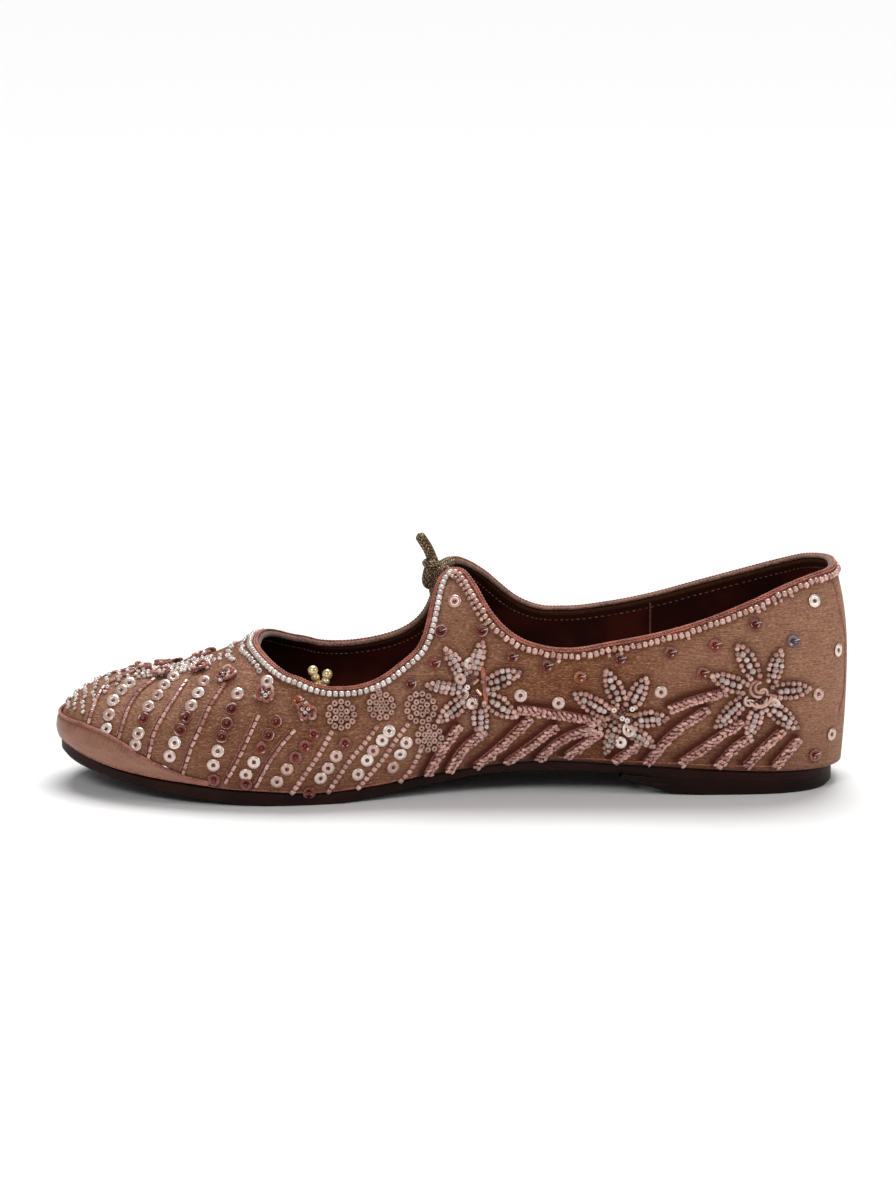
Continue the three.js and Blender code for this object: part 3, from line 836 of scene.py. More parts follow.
def add_outsole():
    top = lambda s: at(RISE, "foot", s) - GAP
    under = lambda s: at(TREAD, "outsole", s)
    back, front = SOLE_ENDS
    levels = [
        ((back + 0.3, front - 0.3), SOLE_MARGIN - 0.3, top),
        (SOLE_ENDS, SOLE_MARGIN, lambda s: top(s) - 0.3),
        (SOLE_ENDS, SOLE_MARGIN, lambda s: under(s) + sole_bevel(s)),
        ((back + 0.1, front - SOLE_BEVEL), lambda s: SOLE_MARGIN - sole_bevel(s), under),
    ]
    bm = loft(levels, np.linspace(0, 1, 141))
    leather = leather_finish("outsole_leather", (22, 6, 3), (42, 15, 9))
    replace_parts(add_piece("outsole_leather", bm, leather, "outsole_leather", smooth=False), "outsole")


def add_heel_lift():
    under = lambda s: at(TREAD, "lift", s)
    top = lambda s: at(TREAD, "outsole", s) + 0.02
    back, front = SOLE_ENDS
    levels = [
        (SOLE_ENDS, SOLE_MARGIN, top),
        (SOLE_ENDS, SOLE_MARGIN, lambda s: lerp(under(s), top(s), 0.25)),
        ((back + LIFT_BEVEL, front), SOLE_MARGIN - LIFT_BEVEL * 0.7, under),
    ]
    bm = loft(levels, np.linspace(0, u_of(LIFT_FRONT, *SOLE_ENDS), 61))
    leather = leather_finish("lift_leather", (17, 5, 3), (34, 12, 8))
    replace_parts(add_piece("heel_lift_leather", bm, leather, "lift_leather", smooth=False), "heel_lift")


def add_insole():
    inset = -(WALL + 3.5 * GAP)
    foot = lambda s: at(RISE, "foot", s)
    back, front = INSOLE_ENDS
    levels = [
        ((back + 0.6, front - 0.6), inset - 0.6, lambda s: foot(s) + INSOLE_THICK),
        (INSOLE_ENDS, inset, lambda s: foot(s) + INSOLE_THICK - 0.6),
        (INSOLE_ENDS, inset, foot),
    ]
    bm = loft(levels, np.linspace(0, 1, 101))
    piece = add_piece("insole_pad", bm, board_finish(), "insole_board", smooth=False)
    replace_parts(piece, "insole")


BAND_LOW = 0.1
BAND_COLUMNS = 180


def band_rib(p):
    """The toe band's rib, for p from its inner end round the toe to its outer end."""
    return lerp(u_of(BAND["s"][0]), 1, 1 - np.abs(2 * p - 1))


def band_top(p):
    """How far up its rib the toe band reaches."""
    climb = np.linspace(0, 1.6, 321)
    points = skin(band_rib(p)[:, None], np.where(p <= 0.5, MEDIAL, LATERAL)[:, None], climb[None, :])
    above = points[..., 2] >= at(BAND, "top", points[..., 0])
    return np.maximum(climb[np.argmax(above, axis=1)], BAND_LOW + 0.12)


def off_skin(u, side, t, distance, step=0.003):
    """Points off the skin by a distance, where t is the rib's own."""
    over = u + step > 1
    ahead = skin(np.where(over, 2 - u - step, u + step), np.where(over, -side, side), t)
    behind = skin(u - step, side, t)
    rise = skin(u, side, t + step) - skin(u, side, np.maximum(t - step, 0))
    out = unit(np.cross(ahead - behind, rise)) * -side[:, None]
    return skin(u, side, t) + out * distance[:, None]


def smooth_row(values, width=9):
    """A row of numbers with its small steps smoothed away."""
    padded = np.concatenate([np.full(width, values[0]), values, np.full(width, values[-1])])
    return np.convolve(padded, np.ones(width) / width, "same")[width:-width]


def add_toe_band():
    """The satin band. Gives back its top and bottom edges, on which the threads lie."""
    p_fine = np.linspace(0, 1, BAND_COLUMNS + 1)
    tops = smooth_row(band_top(p_fine))

    def shape(p, q):
        t = lerp(BAND_LOW, np.interp(p, p_fine, tops), q)
        fold = 1 - np.abs(2 * q - 1) ** 6
        distance = 1.5 * GAP + BAND_THICK * (0.55 + 0.45 * fold)
        return off_skin(band_rib(p), np.where(p <= 0.5, MEDIAL, LATERAL), t, distance)

    bm = sheet_mesh(BAND_COLUMNS, 14, shape, lambda p, q: (190 * p, 16 * q))
    close_up(bm)
    faces_out(bm, (-1.0, 0.0, 0.02))
    piece = add_piece("toe_band_satin", bm, satin_finish(), "satin")
    thicken(piece, BAND_THICK * 0.5)
    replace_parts(piece, "toe_band")
    return [shape(p_fine, np.full(len(p_fine), q)) for q in (1.0, 0.03)]


# Cords and threads

def smooth_route(points, count):
    """Evenly spaced points on a smooth curve through a route's points."""
    points = np.asarray(points, float)
    padded = np.concatenate([[2 * points[0] - points[1]], points, [2 * points[-1] - points[-2]]])
    made = []
    for k in range(len(points) - 1):
        a, b, c, d = padded[k:k + 4]
        for t in np.linspace(0, 1, 24, endpoint=False):
            bend = (2 * a - 5 * b + 4 * c - d) * t * t
            made.append(0.5 * (2 * b + (c - a) * t + bend + (3 * b - a - 3 * c + d) * t ** 3))
    made.append(points[-1])
    return even_points(np.array(made), count)


def even_points(line, count):
    reached = walked(line)
    wanted = np.linspace(0, reached[-1], count)
    return np.stack([np.interp(wanted, reached, line[:, k]) for k in range(line.shape[1])], -1)


def carried_frames(line, closed=False):
    """Two directions across a line at each of its points, turning as little as they can."""
    if closed:
        ways = unit(np.roll(line, -1, axis=0) - np.roll(line, 1, axis=0))
    else:
        ways = unit(np.gradient(line, axis=0))
    side = np.cross(ways[0], (0.0, 0.0, 1.0))
    if np.linalg.norm(side) < 0.2:
        side = np.cross(ways[0], (0.0, 1.0, 0.0))
    first = []
    for way in ways:
        side = side - way * np.dot(side, way)
        side = side / np.linalg.norm(side)
        first.append(side)
    first = np.array(first)
    return first, np.cross(ways, first)


def tube_mesh(line, radii, sides, closed=False, frames=None):
    """A tube through a line's points (in s, y, z), with rounded ends unless it is closed."""
    count = len(line)
    first, second = frames or carried_frames(line, closed)
    radii = np.broadcast_to(radii, (count,)).astype(float)
    bm = bmesh.new()
    across = count if closed else count - 1
    bmesh.ops.create_grid(bm, x_segments=across, y_segments=sides, size=1)
    flat = np.array([v.co[:] for v in bm.verts])
    i = np.rint((flat[:, 0] + 1) / 2 * across).astype(int) % count
    turn = (flat[:, 1] + 1) * math.pi
    layer = bm.loops.layers.uv.new("cloth")
    walk = (flat[:, 0] + 1) / 2 * (walked(line)[-1] * across / max(count - 1, 1))
    for face in bm.faces:
        for loop in face.loops:
            k = loop.vert.index
            loop[layer].uv = (walk[k], turn[k] * radii[i[k]])
    ring = first[i] * np.cos(turn)[:, None] + second[i] * np.sin(turn)[:, None]
    move_to(bm, line[i] + ring * radii[i][:, None])
    bmesh.ops.remove_doubles(bm, verts=bm.verts, dist=0.002 * MM)
    if not closed:
        bmesh.ops.holes_fill(bm, edges=[e for e in bm.edges if e.is_boundary], sides=0)
    bmesh.ops.recalc_face_normals(bm, faces=bm.faces)
    return bm


def rounded_radii(line, wide):
    """Radii that close a tube's ends as half balls."""
    reached = walked(line)
    inside = np.minimum(reached, reached[-1] - reached) / (wide / 2)
    return wide / 2 * np.sqrt(np.clip(1 - (1 - np.clip(inside, 0, 1)) ** 2, 0.02, 1))


INNER_CORD = [
    (126.2, -7.4, 68.2), (127.4, -5.2, 67.6), (129.2, -3.4, 66.8), (130.6, -2.2, 64.6),
    (131.0, -2.6, 61.3), (129.8, -8.0, 55.0), (131.0, -15.0, 47.0), (136.0, -22.0, 39.0),
    (144.0, -27.5, 33.0), (153.0, -30.8, 30.2), (160.0, -31.2, 30.8), (164.8, -30.0, 32.4),
]
OUTER_CORD = [
    (125.3, 13.6, 66.7), (127.2, 8.5, 67.2), (130.2, 2.5, 66.7), (132.4, -0.6, 66.0),
    (130.8, -2.2, 68.4), (131.9, -1.0, 71.4), (133.0, -1.2, 74.0), (134.8, -1.5, 77.0),
    (136.1, -1.6, 78.8),
]
TASSEL_BEADS = [
    (166.4, -29.2, 34.0, 3.0), (167.3, -28.9, 36.4, 2.8), (168.0, -28.7, 38.4, 2.9),
    (168.8, -28.7, 40.7, 3.3), (165.6, -28.9, 35.6, 2.8), (164.9, -28.7, 37.3, 2.8),
    (164.3, -28.7, 39.5, 3.3),
]


def add_tie():
    """The two knitted cords, each from the tip of an ear through the knot to its own end."""
    knit = knit_finish()
    bm = bmesh.new()
    for *spot, wide in TASSEL_BEADS:
        ball = Matrix.Translation(place(spot))
        bmesh.ops.create_uvsphere(bm, u_segments=20, v_segments=12, radius=wide / 2 * MM, matrix=ball)
    tassel = add_piece("tie_tassel_beads", bm, pearl_finish(), "gold_beads")
    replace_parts(tassel, "tie_beads")
    knot = add_knot(knit)
    inner = smooth_route(INNER_CORD, 90)
    bm = tube_mesh(inner, rounded_radii(inner, CORD_WIDE), 14)
    cord = add_piece("tie_cord_inner", bm, knit, "metallic_knit")
    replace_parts(cord, "tie_medial", "tie_end_inner")
    place(inner[0])
    place(inner)
    outer = smooth_route(OUTER_CORD, 60)
    bm = tube_mesh(outer, rounded_radii(outer, CORD_WIDE), 14)
    cord = add_piece("tie_cord_outer", bm, knit, "metallic_knit")
    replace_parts(cord, "tie_lateral", "tie_end_upper")
    place(outer[0])
    place(outer)


# The knot's two loops: one stands in front of the ear's tip and one is wrapped round it, as s, y and z.
KNOT_LOBE = [
    (131.2, -1.4, 69.4), (132.6, -2.4, 66.6), (133.0, -2.2, 63.6), (132.2, -1.0, 62.6),
    (132.0, 0.4, 64.0), (132.0, 0.6, 67.0), (131.4, -0.2, 69.6),
]
KNOT_WRAP = [
    (133.4, -1.0, 69.2), (132.2, -3.2, 69.6), (130.4, -3.0, 68.6), (129.6, -0.8, 67.8),
    (130.6, 1.4, 68.2), (132.4, 1.2, 69.0),
]


def add_knot(knit):
    bm = bmesh.new()
    lobe = smooth_route(KNOT_LOBE, 40)
    wrap = smooth_route(KNOT_WRAP + KNOT_WRAP[:1], 40)[:-1]
    join_in(bm, tube_mesh(lobe, rounded_radii(lobe, 3.8), 14))
    join_in(bm, tube_mesh(wrap, 1.45, 12, closed=True))
    knot = add_piece("tie_knot_loops", bm, knit, "metallic_knit")
    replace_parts(knot, "tie_knot")
    return knot


def rim_line(count=900):
    """The collar's rim as a closed loop of points, with the ways out of the cloth and on past its edge."""
    runs = []
    for side in (MEDIAL, LATERAL):
        u = collar_places(side, count)
        here, out, ahead, up = cloth_frame(u, side, np.ones(len(u)))
        run = np.stack([here, out, here - cloth_point(u, side, np.full(len(u), 0.97))])
        runs.append(run if side == MEDIAL else run[:, 1:-1][:, ::-1])
    points, outs, past = np.concatenate(runs, axis=1)
    ahead = unit(np.roll(points, -1, axis=0) - np.roll(points, 1, axis=0))
    ups = unit(np.cross(ahead, outs))
    return points, outs, ups * np.sign((ups * past).sum(axis=1, keepdims=True))


def twisted_strand(middle, across, up, phase):
    """A strand that winds round a closed line."""
    reached = walked(np.concatenate([middle, middle[:1]]))
    turns = round(reached[-1] / TWIST_PITCH)
    where = np.linspace(0, reached[-1], turns * 9, endpoint=False)
    loop = lambda values: np.concatenate([values, values[:1]])
    track = lambda values: np.stack([np.interp(where, reached, loop(values)[:, k]) for k in range(3)], -1)
    turn = 2 * math.pi * turns * where / reached[-1] + phase
    ring = track(across) * np.cos(turn)[:, None] + track(up) * np.sin(turn)[:, None]
    return track(middle) + TWIST_OUT * ring


# Each silk cord of the piping, as how far it lies out from the cloth and up past the rim, and its turn
PIPING = {"upper": (0.15, 0.85, 0.0), "lower": (0.35, 0.12, 1.2)}
TWIST_OUT = 0.19
TWIST_PITCH = 2.3
STRAND_WIDE = 0.46
TAPE_HALF = (1.0, 0.5)


def add_piping():
    """A folded tape over the collar's rim, and two silk cords of two strands sewn along its outer face."""
    points, outs, ups = rim_line()
    silk = silk_finish("piping_silk", (128, 58, 42), (182, 100, 78))
    for name, (out, lift, phase) in PIPING.items():
        middle = points + outs * out + ups * lift
        for strand in (1, 2):
            line = twisted_strand(middle, outs, ups, phase + strand * math.pi)
            bm = tube_mesh(line, STRAND_WIDE / 2, 6, closed=True)
            add_piece(f"piping_{name}_strand_{strand}", bm, silk, "piping")
    tape = silk_finish("tape_cloth", (74, 44, 28), (108, 74, 50), 0.65)
    middle = (points + outs * (-WALL / 2 - 0.1) + ups * 0.75)[::2]
    frames = (outs[::2] * TAPE_HALF[0], ups[::2] * TAPE_HALF[1])
    piece = add_piece("collar_tape", tube_mesh(middle, 1.0, 12, closed=True, frames=frames), tape, "piping")
    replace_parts(piece, "collar_binding")


# Embroidery: shapes of one bead or sequin, a millimetre across, with z outward and x along the line

def spun(profile, steps):
    """A shape turned round z from points (radius, height) of its section."""
    bm = bmesh.new()
    verts = [bm.verts.new((radius, 0, height)) for radius, height in profile]
    edges = [bm.edges.new((verts[i], verts[(i + 1) % len(verts)])) for i in range(len(verts))]
    turn = {"cent": (0, 0, 0), "axis": (0, 0, 1), "angle": 2 * math.pi, "steps": steps}
    bmesh.ops.spin(bm, geom=verts + edges, use_merge=True, **turn)
    bmesh.ops.remove_doubles(bm, verts=bm.verts, dist=1e-5)
    bmesh.ops.recalc_face_normals(bm, faces=bm.faces)
    return bm


SECTIONS = {
    "ring bead": ([(0.08, 0.05), (0.22, 0.34), (0.43, 0.25), (0.5, -0.08), (0.34, -0.35)], 9),
    "row bead": ([(0.12, -0.42), (0.42, -0.42), (0.5, 0.0), (0.42, 0.42), (0.12, 0.42)], 8),
    "round bead": ([(0.1, -0.4), (0.3, -0.44), (0.46, -0.2), (0.46, 0.2), (0.3, 0.44), (0.1, 0.4)], 8),
    "tube bead": ([(0.2, -0.5), (0.42, -0.5), (0.5, -0.4), (0.5, 0.4), (0.42, 0.5), (0.2, 0.5)], 6),
    "flat sequin": ([(0.13, 0.0), (0.145, 0.035), (0.3, 0.05), (0.5, 0.035), (0.5, 0.0)], 14),
    "cup sequin": ([(0.06, 0.0), (0.06, 0.03), (0.3, 0.07), (0.43, 0.15), (0.5, 0.13), (0.45, 0.08)], 14),
    "dot": ([(0.02, 0.0), (0.5, 0.0), (0.42, 0.25), (0.02, 0.35)], 7),
    "pin": ([(0.12, -0.5), (0.5, -0.5), (0.5, 0.5), (0.12, 0.5)], 6),
}
LYING = ("row bead", "round bead", "tube bead", "pin")


def unit_shape(kind):
    """The mesh of one bead or sequin, on which each point knows how far it is from the middle."""
    bm = spun(*SECTIONS[kind])
    bm.verts.layers.float.new("tone")
    reach = bm.verts.layers.float.new("reach")
    for vertex in bm.verts:
        vertex[reach] = math.hypot(vertex.co.x, vertex.co.y)
    if kind in LYING:
        bmesh.ops.rotate(bm, verts=bm.verts, matrix=Matrix.Rotation(math.pi / 2, 3, "Y"))
    return mesh_of("one", bm, None)


chance = np.random.default_rng(SEED)


class Sewing:
    """Beads or sequins of one kind, gathered before they become a piece."""

    def __init__(self, kind):
        self.kind = kind
        self.spots = []

    def add(self, point, out, way, size, tone=None, tilt=0.0, turn=0.0):
        """One more, at a point of the last, turned and tilted by degrees."""
        out = unit(np.asarray(out, float))
        way = np.asarray(way, float) - out * np.dot(way, out)
        z = Vector(heading(out))
        x = Vector(heading(unit(way)))
        basis = Matrix((x, z.cross(x), z)).transposed()
        for angle, axis in ((turn, "Z"), (tilt, "Y")):
            basis = basis @ Matrix.Rotation(math.radians(angle), 3, axis)
        size = np.broadcast_to(np.asarray(size, float), 3) * MM
        matrix = Matrix.Translation(place(point)) @ basis.to_4x4() @ Matrix.Diagonal((*size, 1.0))
        self.spots.append((matrix, chance.random() if tone is None else tone))

    def piece(self, name, material, slot, smooth=True):
        bm = bmesh.new()
        bm.verts.layers.float.new("tone")
        bm.verts.layers.float.new("reach")
        shape = unit_shape(self.kind)
        for matrix, tone in self.spots:
            one = shape.copy()
            one.transform(matrix)
            one.attributes["tone"].data.foreach_set("value", [tone] * len(one.vertices))
            bm.from_mesh(one)
            bpy.data.meshes.remove(one)
        bpy.data.meshes.remove(shape)
        return add_piece(name, bm, material, slot, smooth)


def bead_finish(name, dark, light, rough=0.16, metal=0.0, edge=None):
    """Glassy beads whose colour varies from one to the next. An edge colour shows on the rim."""
    finish = Finish(name, Specular_IOR_Level=0.7, Coat_Weight=0.5, Coat_Roughness=0.06)
    swirl = finish.noise(finish.object_place(), 900.0, 1.0)
    shade = finish.mix(finish.attribute("tone").clipped() * 0.7 + swirl * 0.3, dark, light)
    if edge:
        shade = finish.mix(finish.attribute("reach").between(0.4, 0.47), shade, edge)
    return finish.show(Base_Color=shade, Roughness=swirl * 0.12 + rough, Metallic=swirl * 0.1 + metal)


# Spots of painted shade on the cloth, beside the embroidery.
PAINTED_SHADE_SPOTS = []


def painted_shade(point, reach=1.6, depth=1.0):
    """Notes painted shade on the cloth round a point of the last, fading over reach."""
    PAINTED_SHADE_SPOTS.append((point, reach, depth))


# Embroidery: the chart, in pixels of the photograph from the toe to the heel and from the sole up

VAMP_LINES = [
    [(89.5, 723.6), (97, 701), (107, 685), (121, 678), (137, 671)],
    [(120, 738), (125, 720.6), (131, 705), (141, 691), (153, 681)],
    [(149, 758), (155, 734), (165, 715), (176.5, 697), (186, 683)],
    [(183.5, 774), (192, 748), (202, 726.5), (212, 705), (224, 687)],
    [(226, 782), (236, 764), (248, 740), (258, 718.6)],
    [(256.6, 786), (269.5, 762), (281, 746), (293, 732.5)],
    [(291, 794), (305, 774), (319, 754), (331, 733)],
    [(327, 793), (340, 774), (352, 757), (367, 740), (376, 728)],
    [(355.5, 790), (371, 772.5), (384, 757), (394, 742), (407, 725)],
    [(394, 786), (409, 771), (417, 757), (420, 750)],
]
CORDED_LINES = 6  # how many of them, from the toe, have a silk cord beside their beads
SEQUIN_ROWS = [
    [(107, 729.5), (110, 716), (114, 702), (122, 692), (130, 685)],
    [(136, 745), (139, 734), (144, 720), (149, 708), (158, 697), (165, 687), (174, 679)],
    [(164, 771), (170, 756), (175, 743), (180.5, 730.5), (186, 718.6), (192, 707), (199, 694.5), (205, 683)],
    [(214, 779.5), (213.5, 765), (218, 751), (222, 737), (227, 724), (232, 710), (238, 695)],
    [(246, 784), (246, 774.6), (254, 762), (261.5, 748), (268.5, 735), (276, 722)],
    [(277, 781.5), (287, 769), (295.5, 757), (305, 746), (313.5, 734)],
    [(309, 792), (320.5, 778), (328, 768), (336, 756), (345, 743)],
    [(358, 774), (367, 760), (373, 750.5), (382, 740), (389, 731)],
    [(393, 767), (400, 754), (406, 742.5)],
]
DARK_SEQUINS = [
    (144, 720), (180.5, 730.5), (186, 718.6), (222, 737), (227, 724), (232, 710), (261.5, 748),
    (268.5, 735), (276, 722), (295.5, 757), (305, 746), (313.5, 734), (345, 743), (214, 779.5),
    (246, 784), (309, 792),
]
SINGLE_SEQUINS = [
    (267.5, 682.6), (455, 602), (520.6, 695.5), (558.5, 703), (661, 692), (814, 601), (837.5, 650),
    (818, 694), (831, 734),
]
PINNED_CUPS = [
    (441, 631.5), (482, 631), (434.5, 663.5), (512, 657), (547, 666), (410.6, 684), (620, 659),
    (670.6, 652.5), (715, 645), (703, 673), (755, 624), (814, 754.6),
]
ORANGE_CUPS = [(580, 677), (298, 702)]
SMOKY_CUPS = [(793, 641)]
BEAD_LEAVES = [(341, 715, 16), (381, 706, 15), (377, 689, 6), (420.5, 707.5, 17), (429, 737, 15)]
BEAD_ROPES = [
    [(426, 778), (442, 750), (459, 727)],
    [(447, 774), (463, 750), (484, 732)],
    [(472, 769), (501, 746), (530, 719)],
    [(505, 763), (530, 746), (556, 727)],
    [(539, 759), (560, 741), (592, 727)],
    [(567, 756), (590, 740), (600, 732)],
    [(615, 761), (638, 745)],
    [(647, 763), (674.5, 733), (707, 710)],
    [(681, 763), (711, 743), (741, 722)],
    [(718, 766), (736, 747), (750, 738)],
    [(746, 766), (762, 750), (782, 731)],
    [(775, 766), (798, 740)],
    [(518, 710), (557, 715), (599, 722)],
    [(670, 710), (695, 701), (725, 693)],
]
# Each petal of the three large flowers, as its foot, its tip and its width
PETALS = [
    ((462, 673), (446, 650), 13), ((474, 670), (483, 643), 12), ((456, 689), (427, 685.5), 11),
    ((464, 700), (438, 721), 15), ((480, 708), (481, 736), 15), ((488, 684), (519, 672), 16),
    ((489, 699), (516, 716), 18), ((607, 713), (575, 694), 17), ((620, 701), (606, 671), 17),
    ((632, 703), (646, 678), 16), ((638, 719), (667, 718), 15), ((632, 731), (654, 745), 13),
    ((616, 725), (605, 752), 12), ((603, 722), (586, 733), 9), ((754, 674), (738, 645), 17),
    ((772, 678), (780, 651), 14), ((776, 691), (808, 688.5), 17), ((771, 707), (796, 727), 16),
    ((757, 712), (748, 737), 14), ((742, 687), (712, 676), 16), ((740, 702), (716, 726), 15),
]
# The beads' distance from a leaf's rim, the step of its rings and the step of the beads in them
LEAF_EDGE_PX = 3.2
LEAF_RING_PX = 6.3
LEAF_BEAD_PX = 6.5
# Middle, half width, half height and number of the small dark beads of each heart
DARK_HEARTS = [(470, 677, 6, 8, 26), (473, 697, 6, 7, 20), (622, 716, 12, 9, 40), (759, 703, 10, 6, 16)]
# Sequins of the hearts, with their tone and how far they are folded up
HEART_SEQUINS = [
    (470, 664, 0.7, 4), (460, 679, 0.1, 24), (463, 694, 0.5, -26), (472, 703, 0.5, 16),
    (620.5, 740.5, 1.0, 14), (626, 727, 0.8, 55), (630, 729, 0.9, 62), (774, 701, 0.9, 48),
    (749, 703, 0.9, -40),
]
HEART_TUBES = [
    ((473, 684), (478, 679), 0.8), ((476, 689), (481, 695), 0.8), ((609.7, 704.8), (618.2, 707.9), 0.2),
    ((625.5, 712.7), (638.8, 713.9), 0.3), ((601.2, 721.2), (606, 725.5), 0.2),
    ((612, 712), (619, 717), 0.3),
]
HEART_BEADS = [(467, 687), (622, 717), (627, 719), (614, 709), (632, 708)]
# Arcs of coiled silk in the last flower, as place, reach in millimetres, start and sweep in degrees
HEART_COILS = [
    (760, 687, 1.7, 60, 250), (758, 688, 2.6, 80, 200), (759, 695, 3.6, 190, 160),
    (758, 698, 2.6, 185, 170), (760, 700, 1.6, 180, 180), (769, 699, 1.7, -120, 220),
    (749, 700, 1.5, 90, 220), (763, 692, 1.2, -60, 240),
]
SMALL_FLOWERS = [(162, 675), (201, 670), (228, 676), (265.5, 696), (307, 713)]
# On the outer side this one would show over the ridge, where the photograph has none
HIDDEN_FLOWER = ((228, 676), LATERAL)
# One more stands on the toe's ridge, as s and y
RIDGE_FLOWER = (223.5, -2.0)
BACK_SEAM = [
    (829.8, 573.3), (833.7, 582.8), (838.3, 601.2), (842, 620), (845, 635.6), (845, 654.8),
    (843.8, 689), (841.5, 702.5), (838.8, 715),
]


def chart_point(px, py):
    """Rib and height of the inner side's cloth that a pixel shows, or None if it shows none."""
    hit, normal, index, distance = CLOTH.tree.ray_cast(Vector(EYE), sight(px, py))
    return CLOTH.rib_place(hit, index) if hit else None


def chart(points):
    return np.array([spot for spot in (chart_point(px, py) for px, py in points) if spot])


def chart_line(points):
    """Ribs and heights along a smooth line through charted points."""
    line = smooth_route([(px, py, 0) for px, py in points], 70)
    return chart(line[:, :2])


def stepped(line, side, pitch, start=0.0):
    """Even steps along a line of ribs and heights, as frames on one side of the shoe."""
    here = cloth_point(line[:, 0], side, line[:, 1])
    reached = walked(here)
    count = max(2, int(round((reached[-1] - start) / pitch)) + 1)
    wanted = np.linspace(start, reached[-1], count)
    u = np.interp(wanted, reached, line[:, 0])
    v = np.interp(wanted, reached, line[:, 1])
    here, out, ahead, up = cloth_frame(u, side, v)
    return here, out, unit(np.gradient(here, axis=0)), wanted


BOTH = (MEDIAL, LATERAL)
CORD_STEP = 0.9
SPIRAL_TURN = 2.4  # between one bead and the next in a filled round
# Pitch, size and spread of turns of the beads in the lines with a cord and without one
CORDED_BEADS = (2.35, (1.95, 1.15, 1.1), 5)
SQUARE_BEADS = (1.95, (1.75, 1.8, 1.5), 8)
FLAT_WIDE = 4.15
CUP_WIDE = 4.2


def add_vamp_lines():
    """Single lines of pink tube beads up the vamp, the first of them with a silk cord beside."""
    tubes = Sewing("tube bead")
    square = Sewing("row bead")
    cords = bmesh.new()
    for number, points in enumerate(VAMP_LINES):
        line = chart_line(points)
        corded = number < CORDED_LINES
        beads = tubes if corded else square
        pitch, size, spread = CORDED_BEADS if corded else SQUARE_BEADS
        for side in BOTH:
            for here, out, way, reached in zip(*stepped(line, side, pitch, 0.6)):
                beads.add(here + out * 0.5, out, way, size, turn=chance.normal(0, spread))
            if corded:
                here, out, way, reached = stepped(line, side, CORD_STEP)
                aside = np.cross(out, way) * side * (1.15 + 0.1 * np.sin(reached * 2.1))[:, None]
                sew_cord(cords, here + out * 0.25 + aside, 0.42)
    tubes.piece("vamp_line_beads", PINK, "pink_beads", smooth=False)
    square.piece("vamp_line_seed_beads", BLUSH, "seed_beads")
    add_piece("vamp_line_cords", cords, RUST, "silk_thread")


def sew_cord(bm, line, radius, sides=6):
    """Adds a thread along a line to a bmesh."""
    join_in(bm, tube_mesh(line, rounded_radii(line, 2 * radius), sides))


def charted_frames(points, side):
    spots = chart(points)
    return cloth_frame(spots[:, 0], side, spots[:, 1])


def towards_heel(out):
    """The way along the cloth to the heel and slightly up."""
    return unit(np.cross(np.cross(out, (-1.0, 0.0, 0.3)), out))


def leaned(out, side):
    """A sequin's facing: away from the cloth, and less upward where the cloth slopes."""
    slope = max(0.0, out[2] - 0.35)
    return unit(out + np.array([0.0, side * 0.9, 0.0]) * slope), 0.9 * slope


def add_sequins():
    """Flat and cupped sequins in rows and singly, some of them pinned with a small bead."""
    flat = Sewing("flat sequin")
    dark, orange, smoky = (Sewing("cup sequin") for kind in range(3))
    pins = Sewing("pin")
    hearts = Sewing("ring bead")
    knots = Sewing("dot")
    rows = [spot for row in SEQUIN_ROWS for spot in row]
    bright = [spot for spot in rows if spot not in DARK_SEQUINS] + SINGLE_SEQUINS
    cupped = [
        (DARK_SEQUINS, dark, False),
        (PINNED_CUPS, dark, True),
        (ORANGE_CUPS, orange, True),
        (SMOKY_CUPS, smoky, True),
    ]
    for side in BOTH:
        for here, out, ahead, up in zip(*charted_frames(bright, side)):
            face, lift = leaned(out, side)
            spot = here + out * (0.3 + lift)
            flat.add(spot, face, up, FLAT_WIDE, tilt=chance.normal(0, 5), turn=chance.uniform(0, 360))
            knots.add(spot - face * 0.15, face, up, 1.5, tone=0.1)
            # Painted shade on the cloth round the sequin.
            painted_shade(here, 1.9, 0.45)
        for spots, cups, pinned in cupped:
            for here, out, ahead, up in zip(*charted_frames(spots, side)):
                face, lift = leaned(out, side)
                cups.add(here + out * (0.15 + lift), face, up, CUP_WIDE, tilt=chance.normal(0, 4))
                # Painted shade on the cloth round the cup sequin.
                painted_shade(here, 2.0, 0.4)
                if pinned:
                    lean = towards_heel(out)
                    pins.add(here + out * 0.85 + lean * 1.1, out, lean, (2.0, 0.3, 0.3), tone=0.4, tilt=-14)
                hearts.add(here + out * (0.6 + lift), face, up, 0.9, tone=0.3)
    flat.piece("flat_sequins", FLAT_SEQUIN, "sequins")
    dark.piece("dark_cup_sequins", DARK_CUP, "sequins")
    orange.piece("orange_cup_sequins", ORANGE_CUP, "sequins")
    smoky.piece("smoky_cup_sequins", SMOKY_CUP, "sequins")
    pins.piece("sequin_pins", SILVER, "seed_beads")
    hearts.piece("sequin_hearts", ROSE, "pink_beads")
    knots.piece("sequin_knots", DARK_SILK, "silk_thread")


def add_bead_leaves():
    """Round leaves filled with rings of silver seed beads."""
    beads = Sewing("ring bead")
    for px, py, reach in BEAD_LEAVES:
        reach -= LEAF_EDGE_PX
        rings = max(1, round(reach / LEAF_RING_PX))
        spots = [(px, py)]
        for ring in range(1, rings + 1):
            far = reach * ring / rings
            count = round(2 * math.pi * far / LEAF_BEAD_PX)
            for k in range(count):
                turn = 2 * math.pi * (k + 0.5 * (ring % 2)) / count
                spots.append((px + far * math.cos(turn), py + far * math.sin(turn)))
        for found in chart(spots):
            for side in BOTH:
                wide = 2.15 + 0.12 * chance.random()
                sew_bead(beads, found, side, wide, tone=0.3 + 0.7 * chance.random(), spread=7)
    beads.piece("leaf_beads", CLEAR, "seed_beads")


